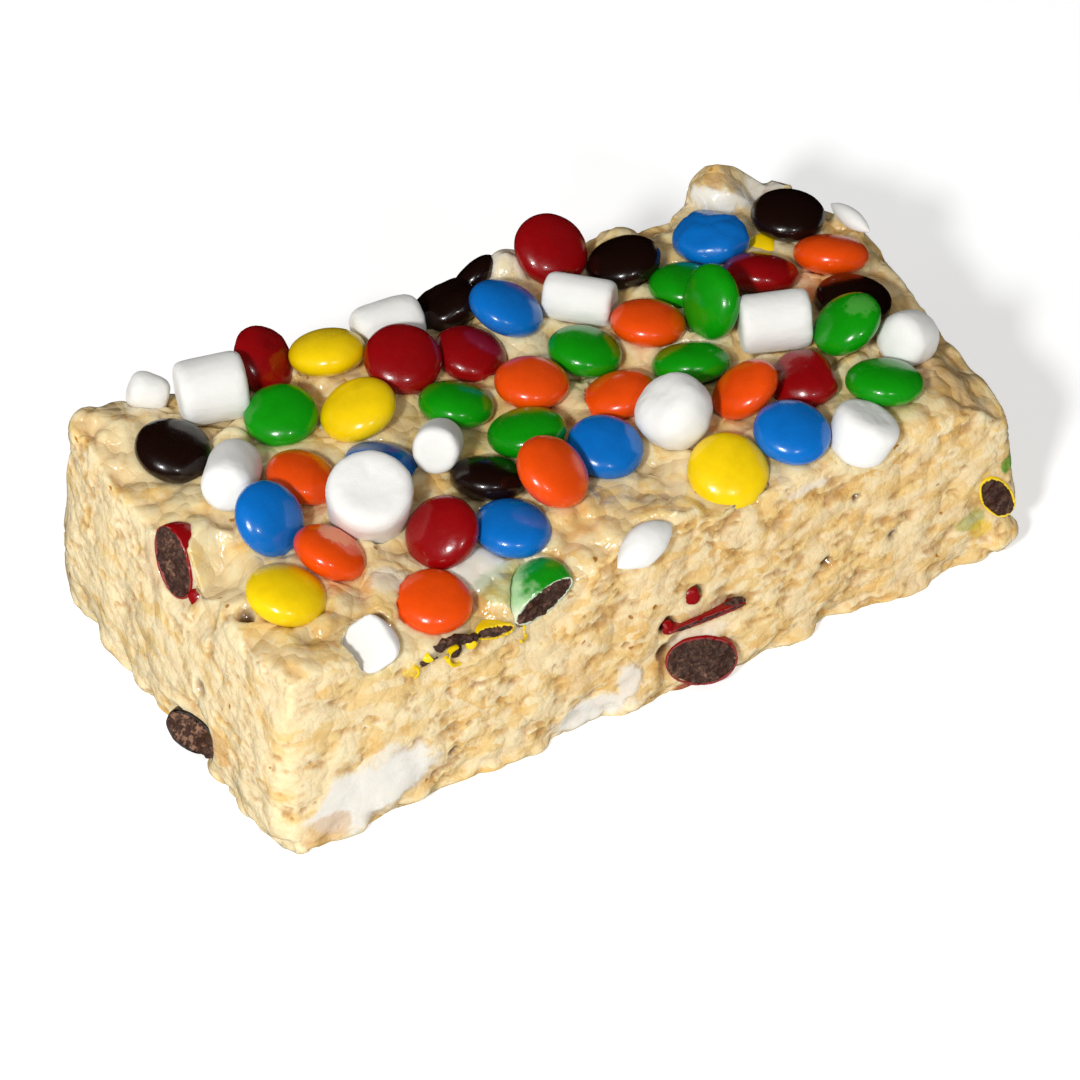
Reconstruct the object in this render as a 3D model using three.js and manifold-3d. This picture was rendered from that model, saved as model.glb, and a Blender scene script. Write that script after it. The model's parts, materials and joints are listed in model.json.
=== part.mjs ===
import * as THREE from "three";
import { mergeVertices } from "three/addons/utils/BufferGeometryUtils.js";
import Module from "manifold-3d";

// A thick bar of crisped rice set in melted marshmallow, cut from a tray, with whole small
// marshmallows and sugar-shelled chocolate candies pressed into its top.
// Millimetres, +Z up. X runs along the bar, the long cut face looks toward -Y and the end cut
// face toward -X. The bar lies on its flat underside, and the origin is the middle of that side.

const wasm = await Module();
wasm.setup();

// ---- Driving dimensions ----

// The bar's four lower corners and how far each is rounded.
const BAR = {
  height: 37,
  corners: [
    { x: -73, y: -40, round: 3.5 },
    { x: 72.5, y: -34.5, round: 5 },
    { x: 76, y: 39, round: 24 },
    { x: -77.5, y: 40.5, round: 9 },
  ],
};

// How far each side leans in between the underside and the top, and bulges out half way up.
const SIDE_LEAN = { front: 4, right: 1.5, back: 1, left: 4.5 };
const SIDE_BELLY = { front: 0.5, right: 2.5, back: 1, left: 1.5 };

// Unevenness of the cut and moulded sides, and of the lumpy top.
const SIDE_RELIEF = { along: 9, up: 4.5, depth: 1.3 };
const TOP_RELIEF = { crisp: 9, depth: 2, swell: 1, swellLength: 38 };

// Places where the lower edge has broken away: distance along the bar, half width and depth.
const FRONT_BITES = [
  { x: -37, half: 4, depth: 2 },
  { x: -14, half: 7, depth: 3.2 },
  { x: 38, half: 5, depth: 2.6 },
  { x: 63, half: 5, depth: 2.4 },
];

// Broad hollows (negative) and rises (positive) of the top: centre, half widths and height.
const TOP_SWELLS = [
  { x: -30, y: -41, halfX: 17, halfY: 13, rise: -8 },
  { x: 4, y: -38, halfX: 12, halfY: 9, rise: 2.5 },
  { x: -68, y: 38, halfX: 10, halfY: 10, rise: 2.5 },
  { x: 72, y: -14, halfX: 10, halfY: 26, rise: -2.5 },
];

// How the top turns down into the sides: sharply where the knife cut, at the front and left, and
// in a soft round where the mass lay against the tray.
const CUT_RIM = { width: 3, drop: 1.5 };
const TRAY_RIM = { width: 9, drop: 5 };

// The sticky mass rises round the pieces lying in it. A piece sinks in by a share of its lower
// half. The mass stays level under a share of its radius, and falls away by the drop over the reach.
const SEAT = { sunk: 0.65, levelShare: 0.7, reach: 4, drop: 5 };

// Lumps of marshmallow-coated crisps that stand proud of the block: centre and half sizes.
const LUMPS = [
  { at: [56, 37, 37], half: [7.5, 6, 7], turn: -10 },
  { at: [48, 34, 36], half: [4.5, 4.5, 5], turn: 30 },
  { at: [65, 35, 36], half: [3.5, 3, 4.5], turn: 0 },
  { at: [11, 36.5, 37], half: [5, 4, 5.5], turn: 20 },
  { at: [32, 36, 35], half: [6, 3.5, 4], turn: 0 },
  { at: [-69.5, 36, 35.5], half: [4.5, 5, 4.5], turn: 0 },
  { at: [71, -33, 5], half: [4.5, 3.5, 3.2], turn: 15 },
];

// The forms of a candy and a marshmallow: a candy's thickness as a share of its width, the
// squareness of the outline (2 is an ellipse, more is a rounded box) and the fineness.
const CANDY = { thicknessShare: 0.5, squareness: 2.15, sides: 11, rings: 3 };
const MARSHMALLOW = { squareness: 3.4, sides: 12, rings: 4 };

// The smallest gap kept between neighbouring solids, and how overlapping pieces are moved apart:
// each by a share of the overlap and a little more, for at most this many rounds.
const GAP = 0.32;
const NUDGE = { share: 0.55, more: 0.02, rounds: 80 };

const COLOURS = {
  red: 0x9a0b10,
  orange: 0xe8540c,
  yellow: 0xf0cf0a,
  green: 0x13870f,
  blue: 0x0b66bd,
  brown: 0x1d0a07,
  crisps: 0xe6cf9f,
  marshmallow: 0xf4f2ee,
};

// Whole candies: centre, lean of the disc's axis from upright, compass direction of that lean
// (0 along +X, 90 along +Y) and radius. Pressed ones have one side flattened, at a share of the
// radius. The piled one lies on other pieces.
const CANDIES = [
  { colour: "brown", at: [-61, 22, 38.5], lean: 15, toward: -40, radius: 6.8 },
  { colour: "red", at: [-37, 34, 40], lean: 50, toward: -50, radius: 6.4, pressed: 0.72 },
  { colour: "yellow", at: [-29, 30, 40], lean: 18, toward: 85, radius: 6.7 },
  { colour: "green", at: [-41, 20.5, 39], lean: 10, toward: -130, radius: 6.4 },
  { colour: "yellow", at: [-30.5, 13.5, 40], lean: 20, toward: 155, radius: 6.8 },
  { colour: "red", at: [-17, 21, 41], lean: 20, toward: -90, radius: 6.8 },
  { colour: "red", at: [-5.5, 20, 38.5], lean: 15, toward: -25, radius: 6.5 },
  { colour: "brown", at: [-2, 33.5, 38], lean: 28, toward: 120, radius: 6.6, pressed: 0.8 },
  { colour: "blue", at: [3.5, 24.5, 41], lean: 24, toward: -10, radius: 6.8 },
  { colour: "red", at: [19, 34.5, 41], lean: 32, toward: -75, radius: 6.8 },
  { colour: "brown", at: [30, 28, 38.5], lean: 16, toward: 120, radius: 6.8 },
  { colour: "green", at: [-14, 9, 39], lean: 20, toward: 40, radius: 6.6 },
  { colour: "orange", at: [-1, 5.5, 40], lean: 8, toward: 25, radius: 6.5 },
  { colour: "green", at: [12, 10, 39], lean: 15, toward: 15, radius: 6.6 },
  { colour: "orange", at: [25, 11, 39.5], lean: 14, toward: 45, radius: 6.6 },
  { colour: "green", at: [-7.5, -4, 40], lean: 18, toward: 90, radius: 6.8 },
  { colour: "orange", at: [12, -1.5, 38], lean: 18, toward: 110, radius: 6.4 },
  { colour: "blue", at: [3, -13, 39], lean: 12, toward: -60, radius: 6.6 },
  { colour: "orange", at: [-10, -18, 43], lean: 34, toward: -45, radius: 6.8, piled: true },
  { colour: "brown", at: [-17, -9, 38], lean: 24, toward: 50, radius: 6.7 },
  { colour: "blue", at: [-31.5, 4, 38], lean: 26, toward: 35, radius: 6.5 },
  { colour: "orange", at: [-45, 5.5, 38.5], lean: 20, toward: -5, radius: 6.3 },
  { colour: "blue", at: [-55.5, -3.5, 41], lean: 45, toward: -60, radius: 6.6 },
  { colour: "orange", at: [-49, -13, 38.5], lean: 30, toward: 0, radius: 6.5 },
  { colour: "yellow", at: [-59.5, -18, 38.5], lean: 16, toward: -10, radius: 6.9 },
  { colour: "red", at: [-31, -17.5, 38.5], lean: 35, toward: -160, radius: 6.5 },
  { colour: "blue", at: [-20, -21, 37.5], lean: 8, toward: -10, radius: 6.6 },
  { colour: "orange", at: [-38, -28, 34.5], lean: 8, toward: -90, radius: 6.5 },
  { colour: "blue", at: [46.5, 26, 39], lean: 10, toward: 95, radius: 7, pressed: 0.75 },
  { colour: "green", at: [36.5, 18, 38], lean: 14, toward: 45, radius: 6.6 },
  { colour: "green", at: [35, 6.5, 43], lean: 68, toward: 180, radius: 6.7 },
  { colour: "green", at: [27, 0, 38.5], lean: 30, toward: 70, radius: 6.9 },
  { colour: "red", at: [49.5, 14, 38.5], lean: 26, toward: 50, radius: 6.7 },
  { colour: "brown", at: [61.5, 24.5, 39], lean: 6, toward: 25, radius: 6.7 },
  { colour: "orange", at: [62.5, 11.5, 38.5], lean: 28, toward: 55, radius: 6.7 },
  { colour: "brown", at: [60.5, 1, 38.5], lean: 14, toward: 30, radius: 6.8 },
  { colour: "green", at: [52.5, -9, 42], lean: 32, toward: 155, radius: 6.5 },
  { colour: "red", at: [42.5, -13.5, 38.5], lean: 12, toward: 170, radius: 6.4, pressed: 0.7 },
  { colour: "orange", at: [30.5, -13.5, 40], lean: 33, toward: 145, radius: 6.3 },
  { colour: "green", at: [51.5, -22.5, 39], lean: 18, toward: 50, radius: 6.8 },
  { colour: "blue", at: [32, -25, 39], lean: 10, toward: -65, radius: 6.7 },
  { colour: "yellow", at: [19.5, -25, 38], lean: 24, toward: -100, radius: 7 },
];

// Marshmallows: centre, lean and compass direction of the barrel's axis, radius, half length and
// how far the far end narrows.
const MARSHMALLOWS = [
  { at: [-58, 38, 38], lean: 70, toward: 150, radius: 3.3, half: 3.6, taper: 0.1 },
  { at: [-49, 30, 41], lean: 88, toward: -15, radius: 6, half: 6, taper: 0 },
  { at: [-56, 10, 40.5], lean: 72, toward: -125, radius: 4.8, half: 7, taper: 0 },
  { at: [-14, 32.5, 39], lean: 88, toward: -5, radius: 4.6, half: 6.2, taper: 0 },
  { at: [-39.5, -8, 39.5], lean: 25, toward: 100, radius: 6.7, half: 6.6, taper: 0.18 },
  { at: [-22.5, -1, 41], lean: 60, toward: -125, radius: 4.1, half: 5.5, taper: 0.05 },
  { at: [17.5, 20.5, 40], lean: 88, toward: -45, radius: 4.4, half: 6.3, taper: 0 },
  { at: [16.5, -15, 41], lean: 35, toward: 160, radius: 6.4, half: 5.4, taper: 0.1 },
  { at: [43, -1, 41.5], lean: 88, toward: -22, radius: 5.4, half: 6.2, taper: 0 },
  { at: [62.5, -14, 39], lean: 60, toward: -150, radius: 5, half: 5, taper: 0 },
  { at: [44, -29, 37.5], lean: 25, toward: 0, radius: 5.2, half: 4.8, taper: 0.2 },
  { at: [-2, -35, 36.5], lean: 80, toward: 15, radius: 2.9, half: 6.4, taper: 0.3 },
  { at: [-52.5, -32.5, 35], lean: 40, toward: -30, radius: 4.4, half: 3.6, taper: 0.1 },
];

// Candies that the knife went through, lying in the cut faces: centre, lean and compass direction
// of the disc's axis, radius, and the upright plane that the knife cut them along.
const CUT_CANDIES = [
  {
    name: "cut-candy-red-end", colour: "red", at: [-70.5, 2.5, 33],
    lean: 50, toward: -90, radius: 6.5, cutAlong: "x", cutAt: -72,
  },
  {
    name: "cut-candy-brown-end", colour: "brown", at: [-75, -8, 4.2],
    lean: 18, toward: -90, radius: 5.6, cutAlong: "x", cutAt: -77.5,
  },
  {
    name: "cut-candy-green-front", colour: "green", at: [-21, -32.5, 32.5],
    lean: 28, toward: 180, radius: 6.4, cutAlong: "y", cutAt: -35,
  },
  {
    name: "cut-candy-red-front", colour: "red", at: [10.5, -36.5, 6.6],
    lean: 47, toward: -65, radius: 6.7, cutAlong: "y", cutAt: -38.5,
  },
];

// Small remains fused into the block: centre, half sizes, lean and compass direction of the
// short axis.
const REMAINS = [
  { at: [71.5, -31, 15], half: [5.5, 5.5, 2.6], lean: 60, toward: -30 },
  { at: [72, 21, 35.5], half: [1.8, 5, 1.6], lean: 0, toward: 0 },
  { at: [-35, -35, 27], half: [8, 2.2, 1.6], lean: 10, toward: 180 },
];

// Fineness of the block: mm between corners of its top and round its sides, the levels of the
// sides and how high they are drawn before the top trims them.
const TOP_STEP = 5;
const SIDE_COUNT = 94;
const SIDE_LEVELS = 8;
const SIDE_HEIGHT = 44;

// The slab that the top is drawn on is wider than the bar and reaches below the underside.
const TOP_SLAB = { width: 162, depth: 94, below: 5 };

// How far the sides tuck under at the very bottom, and how high the broken places reach.
const FOOT = { height: 3, inset: 0.6 };
const BITE_HEIGHT = 12;

// Packed bumps: how far their middles stray in their cells, how far a bump reaches in cells, and
// the seeds of their patterns.
const BUMP = { stray: 0.6, reach: 0.775, sideSeed: 5, topSeed: 9 };

// ---- Helpers ----

const degrees = THREE.MathUtils.degToRad;
const clamp = THREE.MathUtils.clamp;

// A repeatable random number from 0 to 1 for a cell of a grid.
function cellRandom(i, j, seed) {
  let h = Math.imul(i + 1013, 374761393) ^ Math.imul(j + 617, 668265263) ^ Math.imul(seed, 974634777);
  h = Math.imul(h ^ (h >>> 13), 1274126177);
  h ^= h >>> 16;
  return (h >>> 0) / 4294967296;
}

// Rounded bumps packed side by side, one to a cell of a jittered grid: 1 on a crest, 0 between.
function packedBumps(u, v, seed) {
  const cellU = Math.floor(u);
  const cellV = Math.floor(v);
  let nearest = Infinity;
  for (let i = cellU - 1; i <= cellU + 1; i += 1) {
    for (let j = cellV - 1; j <= cellV + 1; j += 1) {
      const du = i + 0.5 + BUMP.stray * (cellRandom(i, j, seed) - 0.5) - u;
      const dv = j + 0.5 + BUMP.stray * (cellRandom(i, j, seed + 1) - 0.5) - v;
      nearest = Math.min(nearest, du * du + dv * dv);
    }
  }
  return clamp(1 - nearest / BUMP.reach ** 2, 0, 1);
}

// The geometry with its shared corners joined and its empty triangles taken out.
function welded(geometry) {
  const bare = geometry.clone();
  bare.deleteAttribute("normal");
  bare.deleteAttribute("uv");
  const merged = mergeVertices(bare, 1e-4);
  const old = merged.index.array;
  const kept = [];
  for (let i = 0; i < old.length; i += 3) {
    const [a, b, c] = [old[i], old[i + 1], old[i + 2]];
    if (a !== b && b !== c && c !== a) kept.push(a, b, c);
  }
  merged.setIndex(kept);
  return merged;
}

function toSolid(geometry) {
  const closed = welded(geometry);
  return new wasm.Manifold(
    new wasm.Mesh({
      numProp: 3,
      vertProperties: new Float32Array(closed.attributes.position.array),
      triVerts: new Uint32Array(closed.index.array),
    }),
  );
}

function toGeometry(solid) {
  const mesh = solid.getMesh();
  const geometry = new THREE.BufferGeometry();
  geometry.setAttribute("position", new THREE.BufferAttribute(mesh.vertProperties, 3));
  geometry.setIndex(new THREE.BufferAttribute(mesh.triVerts, 1));
  return geometry;
}

// The turn that takes an upright axis to the given lean and compass direction.
function leaning(lean, toward) {
  const axis = new THREE.Vector3(
    Math.sin(degrees(lean)) * Math.cos(degrees(toward)),
    Math.sin(degrees(lean)) * Math.sin(degrees(toward)),
    Math.cos(degrees(lean)),
  );
  return new THREE.Quaternion().setFromUnitVectors(new THREE.Vector3(0, 0, 1), axis);
}

// ---- Toppings ----

// A body of revolution about Z whose outline is a rounded box of the given squareness:
// 2 gives an ellipsoid, more gives a barrel with rounded ends.
function barrelGeometry({ radius, half, squareness, sides, rings, taper = 0 }) {
  const profile = [new THREE.Vector2(0, -half)];
  for (let ring = 1; ring <= rings; ring += 1) {
    const angle = Math.PI * (ring / (rings + 1) - 0.5);
    const across = Math.cos(angle) ** (2 / squareness);
    const up = Math.sign(Math.sin(angle)) * Math.abs(Math.sin(angle)) ** (2 / squareness);
    profile.push(new THREE.Vector2(radius * across * (1 + taper * up), half * up));
  }
  profile.push(new THREE.Vector2(0, half));
  return new THREE.LatheGeometry(profile, sides).rotateX(Math.PI / 2);
}

// Presses one side of a piece flat, at the given share of its radius from the middle.
function pressFlat(geometry, radius, share) {
  const position = geometry.attributes.position;
  const limit = radius * share;
  for (let i = 0; i < position.count; i += 1) {
    position.setX(i, Math.min(position.getX(i), limit));
  }
}

function sweetGeometry(sweet, grow = 0) {
  const geometry = barrelGeometry({
    ...sweet,
    radius: sweet.radius + grow,
    half: sweet.half + grow,
  });
  if (sweet.pressed) pressFlat(geometry, sweet.radius + grow, sweet.pressed);
  geometry.applyQuaternion(sweet.turn);
  geometry.translate(...sweet.centre.toArray());
  return geometry;
}

function placed(row, shape) {
  return {
    ...row,
    ...shape,
    centre: new THREE.Vector3(...row.at),
    turn: leaning(row.lean, row.toward),
  };
}

function candy(row, name) {
  return placed(row, {
    name,
    half: row.radius * CANDY.thicknessShare,
    squareness: CANDY.squareness,
    sides: CANDY.sides,
    rings: CANDY.rings,
    roughness: 0.25,
  });
}

function marshmallow(row, name) {
  return placed(row, {
    name,
    colour: "marshmallow",
    squareness: MARSHMALLOW.squareness,
    sides: MARSHMALLOW.sides,
    rings: MARSHMALLOW.rings,
    roughness: 0.85,
  });
}

// How far a point lies inside a piece's rounded outline, as a length, with the way out.
function depthInside(point, sweet) {
  const local = point.clone().sub(sweet.centre).applyQuaternion(sweet.turn.clone().invert());
  const across = Math.hypot(local.x, local.y) / (sweet.radius + GAP);
  const up = Math.abs(local.z) / (sweet.half + GAP);
  const level = (across ** sweet.squareness + up ** sweet.squareness) ** (1 / sweet.squareness);
  if (level >= 1) return null;
  const way = new THREE.Vector3(
    local.x / sweet.radius ** 2,
    local.y / sweet.radius ** 2,
    local.z / sweet.half ** 2,
  );
  return {
    depth: (1 - level) * Math.min(sweet.radius, sweet.half),
    way: way.normalize().applyQuaternion(sweet.turn),
  };
}

// Moves two overlapping pieces apart by their deepest overlap.
function partPair(one, other) {
  const points = sweetGeometry(one).attributes.position;
  const point = new THREE.Vector3();
  let worst = null;
  for (let i = 0; i < points.count; i += 1) {
    const found = depthInside(point.fromBufferAttribute(points, i), other);
    if (found && (!worst || found.depth > worst.depth)) worst = found;
  }
  if (!worst) return false;
  const push = worst.way.multiplyScalar(NUDGE.share * worst.depth + NUDGE.more);
  if (!one.fixed) one.centre.add(push);
  if (!other.fixed) other.centre.sub(push);
  return true;
}

// Nudges the pieces until no two of them touch.
function settle(sweets) {
  for (let round = 0; round < NUDGE.rounds; round += 1) {
    let touching = false;
    for (const one of sweets) {
      for (const other of sweets) {
        const reach = Math.max(one.radius, one.half) + Math.max(other.radius, other.half) + GAP;
        if (one === other || one.centre.distanceTo(other.centre) > reach) continue;
        if (partPair(one, other)) touching = true;
      }
    }
    if (!touching) return;
  }
}

// ---- The crisp block ----

// Points spaced evenly round the foot of the bar, anticlockwise, each with its way out and the
// distance along the outline.
function barOutline() {
  const path = new THREE.Path();
  const corners = BAR.corners.map(({ x, y }) => new THREE.Vector2(x, y));
  corners.forEach((corner, i) => {
    const round = BAR.corners[i].round;
    const before = corners[(i + corners.length - 1) % corners.length];
    const after = corners[(i + 1) % corners.length];
    const start = corner.clone().add(before.clone().sub(corner).setLength(round));
    const end = corner.clone().add(after.clone().sub(corner).setLength(round));
    if (i === 0) path.moveTo(start.x, start.y);
    else path.lineTo(start.x, start.y);
    path.quadraticCurveTo(corner.x, corner.y, end.x, end.y);
  });
  path.closePath();
  const points = path.getSpacedPoints(SIDE_COUNT).slice(0, SIDE_COUNT);
  const step = path.getLength() / SIDE_COUNT;
  return points.map((point, i) => {
    const next = points[(i + 1) % SIDE_COUNT];
    const last = points[(i + SIDE_COUNT - 1) % SIDE_COUNT];
    const out = new THREE.Vector2(next.y - last.y, last.x - next.x).normalize();
    return { point, out, along: i * step };
  });
}

const outline = barOutline();

// A value given for each side, blended round the corners by the way out.
function bySide(values, out) {
  const face = out.y < 0 ? values.front : values.back;
  const end = out.x < 0 ? values.left : values.right;
  return face * out.y * out.y + end * out.x * out.x;
}

// How far the lower front edge is broken back at a place along it.
function frontBite(x, out, z) {
  if (out.y > -0.7) return 0;
  let bite = 0;
  for (const { x: middle, half, depth } of FRONT_BITES) {
    const share = clamp(1 - Math.abs(x - middle) / half, 0, 1);
    bite = Math.max(bite, depth * Math.sqrt(share));
  }
  return bite * clamp(1 - z / BITE_HEIGHT, 0, 1);
}

// How far the side stands out of the plain outline at a height.
function sideRelief({ point, out, along }, z) {
  const { along: cellAlong, up, depth } = SIDE_RELIEF;
  const rise = z / BAR.height;
  const strata = depth * (packedBumps(along / cellAlong, z / up, BUMP.sideSeed) - 0.5);
  const tuck = FOOT.inset * clamp(1 - z / FOOT.height, 0, 1);
  const belly = bySide(SIDE_BELLY, out) * Math.sin(Math.PI * clamp(rise, 0, 1));
  return strata + belly - tuck - bySide(SIDE_LEAN, out) * rise - frontBite(point.x, out, z);
}

// The closed side of the bar, drawn higher than its top.
function sideWallGeometry() {
  const geometry = new THREE.CylinderGeometry(1, 1, SIDE_HEIGHT, SIDE_COUNT, SIDE_LEVELS);
  geometry.rotateX(Math.PI / 2);
  geometry.translate(0, 0, SIDE_HEIGHT / 2);
  const position = geometry.attributes.position;
  for (let i = 0; i < position.count; i += 1) {
    const [x, y, z] = [position.getX(i), position.getY(i), position.getZ(i)];
    if (Math.hypot(x, y) > 0.5) {
      const turn = Math.atan2(x, -y) / (2 * Math.PI);
      const place = outline[Math.round((turn + 1) * SIDE_COUNT) % SIDE_COUNT];
      const stand = sideRelief(place, z);
      position.setX(i, place.point.x + place.out.x * stand);
      position.setY(i, place.point.y + place.out.y * stand);
    }
  }
  return geometry;
}

// How far the top falls towards the nearest side.
function rimDrop(x, y) {
  let nearest = outline[0];
  let distance = Infinity;
  for (const place of outline) {
    const away = Math.hypot(place.point.x - x, place.point.y - y);
    if (away < distance) {
      distance = away;
      nearest = place;
    }
  }
  const inside = distance - bySide(SIDE_LEAN, nearest.out);
  const rim = nearest.out.x + nearest.out.y < 0 ? CUT_RIM : TRAY_RIM;
  return rim.drop * clamp(1 - inside / rim.width, 0, 1) ** 2;
}

// How high the mass stands at a place because a piece lies in it there.
function seatHeight(x, y, sweet) {
  const lean = degrees(sweet.lean);
  const upright = Math.hypot(sweet.half * Math.cos(lean), sweet.radius * Math.sin(lean));
  const away = Math.hypot(x - sweet.centre.x, y - sweet.centre.y) - SEAT.levelShare * sweet.radius;
  const seat = sweet.centre.z - SEAT.sunk * upright;
  return seat - SEAT.drop * Math.max(0, away / SEAT.reach) ** 2;
}

// The height of the top: its rim, swells, seats and crisps together.
function topHeight(x, y, sweets) {
  const { crisp, depth, swell, swellLength } = TOP_RELIEF;
  let height = BAR.height - rimDrop(x, y);
  for (const hill of TOP_SWELLS) {
    const away = ((x - hill.x) / hill.halfX) ** 2 + ((y - hill.y) / hill.halfY) ** 2;
    height += hill.rise * Math.exp(-away);
  }
  height += swell * Math.sin(x * 2 * Math.PI / swellLength) * Math.cos(y * 2 * Math.PI / swellLength);
  for (const sweet of sweets) height = Math.max(height, seatHeight(x, y, sweet));
  return height + depth * (packedBumps(x / crisp, y / crisp, BUMP.topSeed) - 0.5);
}

// A slab whose upper side is the lumpy top.
function topSlabGeometry(sweets) {
  const { width, depth, below } = TOP_SLAB;
  const geometry = new THREE.BoxGeometry(
    width, depth, BAR.height + below, Math.round(width / TOP_STEP), Math.round(depth / TOP_STEP), 1,
  );
  geometry.translate(0, 0, (BAR.height - below) / 2);
  const position = geometry.attributes.position;
  for (let i = 0; i < position.count; i += 1) {
    const [x, y, z] = [position.getX(i), position.getY(i), position.getZ(i)];
    if (z > 0) position.setZ(i, topHeight(x, y, sweets));
  }
  return geometry;
}

function lumpGeometry({ at, half, turn }) {
  const geometry = new THREE.IcosahedronGeometry(1, 1);
  geometry.scale(...half);
  geometry.rotateZ(degrees(turn));
  geometry.translate(...at);
  return geometry;
}

function remainGeometry({ at, half, lean, toward }) {
  const geometry = new THREE.IcosahedronGeometry(1, 1);
  geometry.scale(...half);
  geometry.applyQuaternion(leaning(lean, toward));
  geometry.translate(...at);
  return geometry;
}

function largestPiece(solid) {
  return solid.decompose().reduce((one, other) => (one.volume() > other.volume() ? one : other));
}

// The block with a close pocket under every piece that lies in it.
function blockSolid(sweets) {
  const lying = sweets.filter((sweet) => !sweet.fixed && !sweet.piled);
  let block = toSolid(topSlabGeometry(lying)).intersect(toSolid(sideWallGeometry()));
  for (const lump of LUMPS) block = block.add(toSolid(lumpGeometry(lump)));
  for (const remain of REMAINS) block = block.add(toSolid(remainGeometry(remain)));
  for (const sweet of sweets) block = block.subtract(toSolid(sweetGeometry(sweet, GAP)));
  return largestPiece(block);
}

// ---- The bar ----

// What is left of a cut candy on the block's side of the knife.
function cutCandyGeometry(sweet) {
  const size = 100; // larger than any candy
  const keep = new THREE.BoxGeometry(size, size, size);
  const shift = sweet.cutAt + size / 2;
  if (sweet.cutAlong === "x") keep.translate(shift, sweet.centre.y, sweet.centre.z);
  else keep.translate(sweet.centre.x, shift, sweet.centre.z);
  return toGeometry(toSolid(sweetGeometry(sweet)).intersect(toSolid(keep)));
}

function namedMesh(name, geometry, colour, roughness) {
  const material = new THREE.MeshStandardMaterial({ color: COLOURS[colour], roughness, metalness: 0 });
  const mesh = new THREE.Mesh(geometry, material);
  mesh.name = name;
  return mesh;
}

function twoDigits(number) {
  return String(number).padStart(2, "0");
}

function crispBar() {
  const cut = CUT_CANDIES.map((row) => ({ ...candy(row, row.name), fixed: true }));
  const candies = CANDIES.map((row, i) => candy(row, `candy-${twoDigits(i + 1)}-${row.colour}`));
  const marshmallows = MARSHMALLOWS.map((row, i) => marshmallow(row, `marshmallow-${twoDigits(i + 1)}`));
  const sweets = [...cut, ...candies, ...marshmallows];
  settle(sweets);

  const bar = new THREE.Group();
  bar.add(namedMesh("crisp-block", toGeometry(blockSolid(sweets)), "crisps", 0.6));
  for (const sweet of cut) {
    bar.add(namedMesh(sweet.name, cutCandyGeometry(sweet), sweet.colour, sweet.roughness));
  }
  for (const sweet of [...candies, ...marshmallows]) {
    bar.add(namedMesh(sweet.name, welded(sweetGeometry(sweet)), sweet.colour, sweet.roughness));
  }

  const middle = new THREE.Box3().setFromObject(bar).getCenter(new THREE.Vector3());
  bar.position.set(-middle.x, -middle.y, 0);
  return bar;
}

export default crispBar();
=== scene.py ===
"""Dresses a packed bar of crisped rice with its marshmallows and sugar-shelled candies.

The crisp block becomes a dense mass of kernels set in melted marshmallow, and each topping
becomes a smooth piece at the place, size and lean of the solid that it stands for.
"""

import json
import math
from functools import partialmethod

import bmesh
import bpy
import numpy as np
from bpy.props import FloatProperty, FloatVectorProperty, PointerProperty
from mathutils import Matrix, Vector

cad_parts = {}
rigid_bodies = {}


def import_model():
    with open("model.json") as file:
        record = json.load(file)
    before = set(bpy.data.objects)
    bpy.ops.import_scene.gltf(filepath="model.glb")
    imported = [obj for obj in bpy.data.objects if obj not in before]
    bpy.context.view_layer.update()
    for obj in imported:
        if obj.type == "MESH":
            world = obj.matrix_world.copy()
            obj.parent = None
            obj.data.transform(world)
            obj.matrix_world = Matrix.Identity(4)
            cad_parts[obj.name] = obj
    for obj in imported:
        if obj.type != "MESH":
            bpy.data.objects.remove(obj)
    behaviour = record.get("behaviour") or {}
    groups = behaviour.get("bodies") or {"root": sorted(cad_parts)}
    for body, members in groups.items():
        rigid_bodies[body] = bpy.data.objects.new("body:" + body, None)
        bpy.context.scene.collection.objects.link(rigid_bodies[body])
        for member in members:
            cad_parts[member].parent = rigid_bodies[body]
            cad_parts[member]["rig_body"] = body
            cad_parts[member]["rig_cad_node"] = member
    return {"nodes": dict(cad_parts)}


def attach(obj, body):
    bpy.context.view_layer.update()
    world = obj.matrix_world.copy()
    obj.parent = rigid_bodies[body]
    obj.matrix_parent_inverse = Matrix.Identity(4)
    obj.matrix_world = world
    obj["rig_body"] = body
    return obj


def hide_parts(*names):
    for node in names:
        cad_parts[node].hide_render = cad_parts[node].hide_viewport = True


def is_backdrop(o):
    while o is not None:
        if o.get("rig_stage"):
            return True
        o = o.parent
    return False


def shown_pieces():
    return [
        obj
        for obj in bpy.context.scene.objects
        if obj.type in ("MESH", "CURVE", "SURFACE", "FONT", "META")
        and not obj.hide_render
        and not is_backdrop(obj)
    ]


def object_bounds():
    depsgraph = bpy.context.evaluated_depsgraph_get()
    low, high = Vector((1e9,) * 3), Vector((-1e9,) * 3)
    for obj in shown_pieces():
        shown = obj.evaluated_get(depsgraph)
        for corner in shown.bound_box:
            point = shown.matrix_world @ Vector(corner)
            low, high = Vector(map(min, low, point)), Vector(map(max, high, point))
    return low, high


bl_info = {
    "name": "Crisped Rice Treat",
    "version": (1, 0, 0),
    "blender": (4, 5, 0),
    "location": "3D View > Sidebar > Treat",
    "description": "Makes a cut bar of crisped rice topped with marshmallows and candies",
    "category": "Object",
}

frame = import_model()
CAD_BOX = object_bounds()

MM = 0.001
# Points that are nearer than this count as one.
WELD = 1e-6
BODY = "root"
BLOCK = "crisp-block"
COLOURS = ("red", "orange", "yellow", "green", "blue", "brown")


def linear(red, green, blue):
    """A colour given as 0 to 255 on screen, as the linear values that a shader takes."""
    shares = (channel / 255 for channel in (red, green, blue))
    return tuple(s / 12.92 if s <= 0.04045 else ((s + 0.055) / 1.055) ** 2.4 for s in shares)


def solid(colour):
    return (*colour, 1.0)


def metres(millimetres):
    """A place or size given in millimetres, as a vector in metres."""
    return Vector(millimetres) * MM


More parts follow.
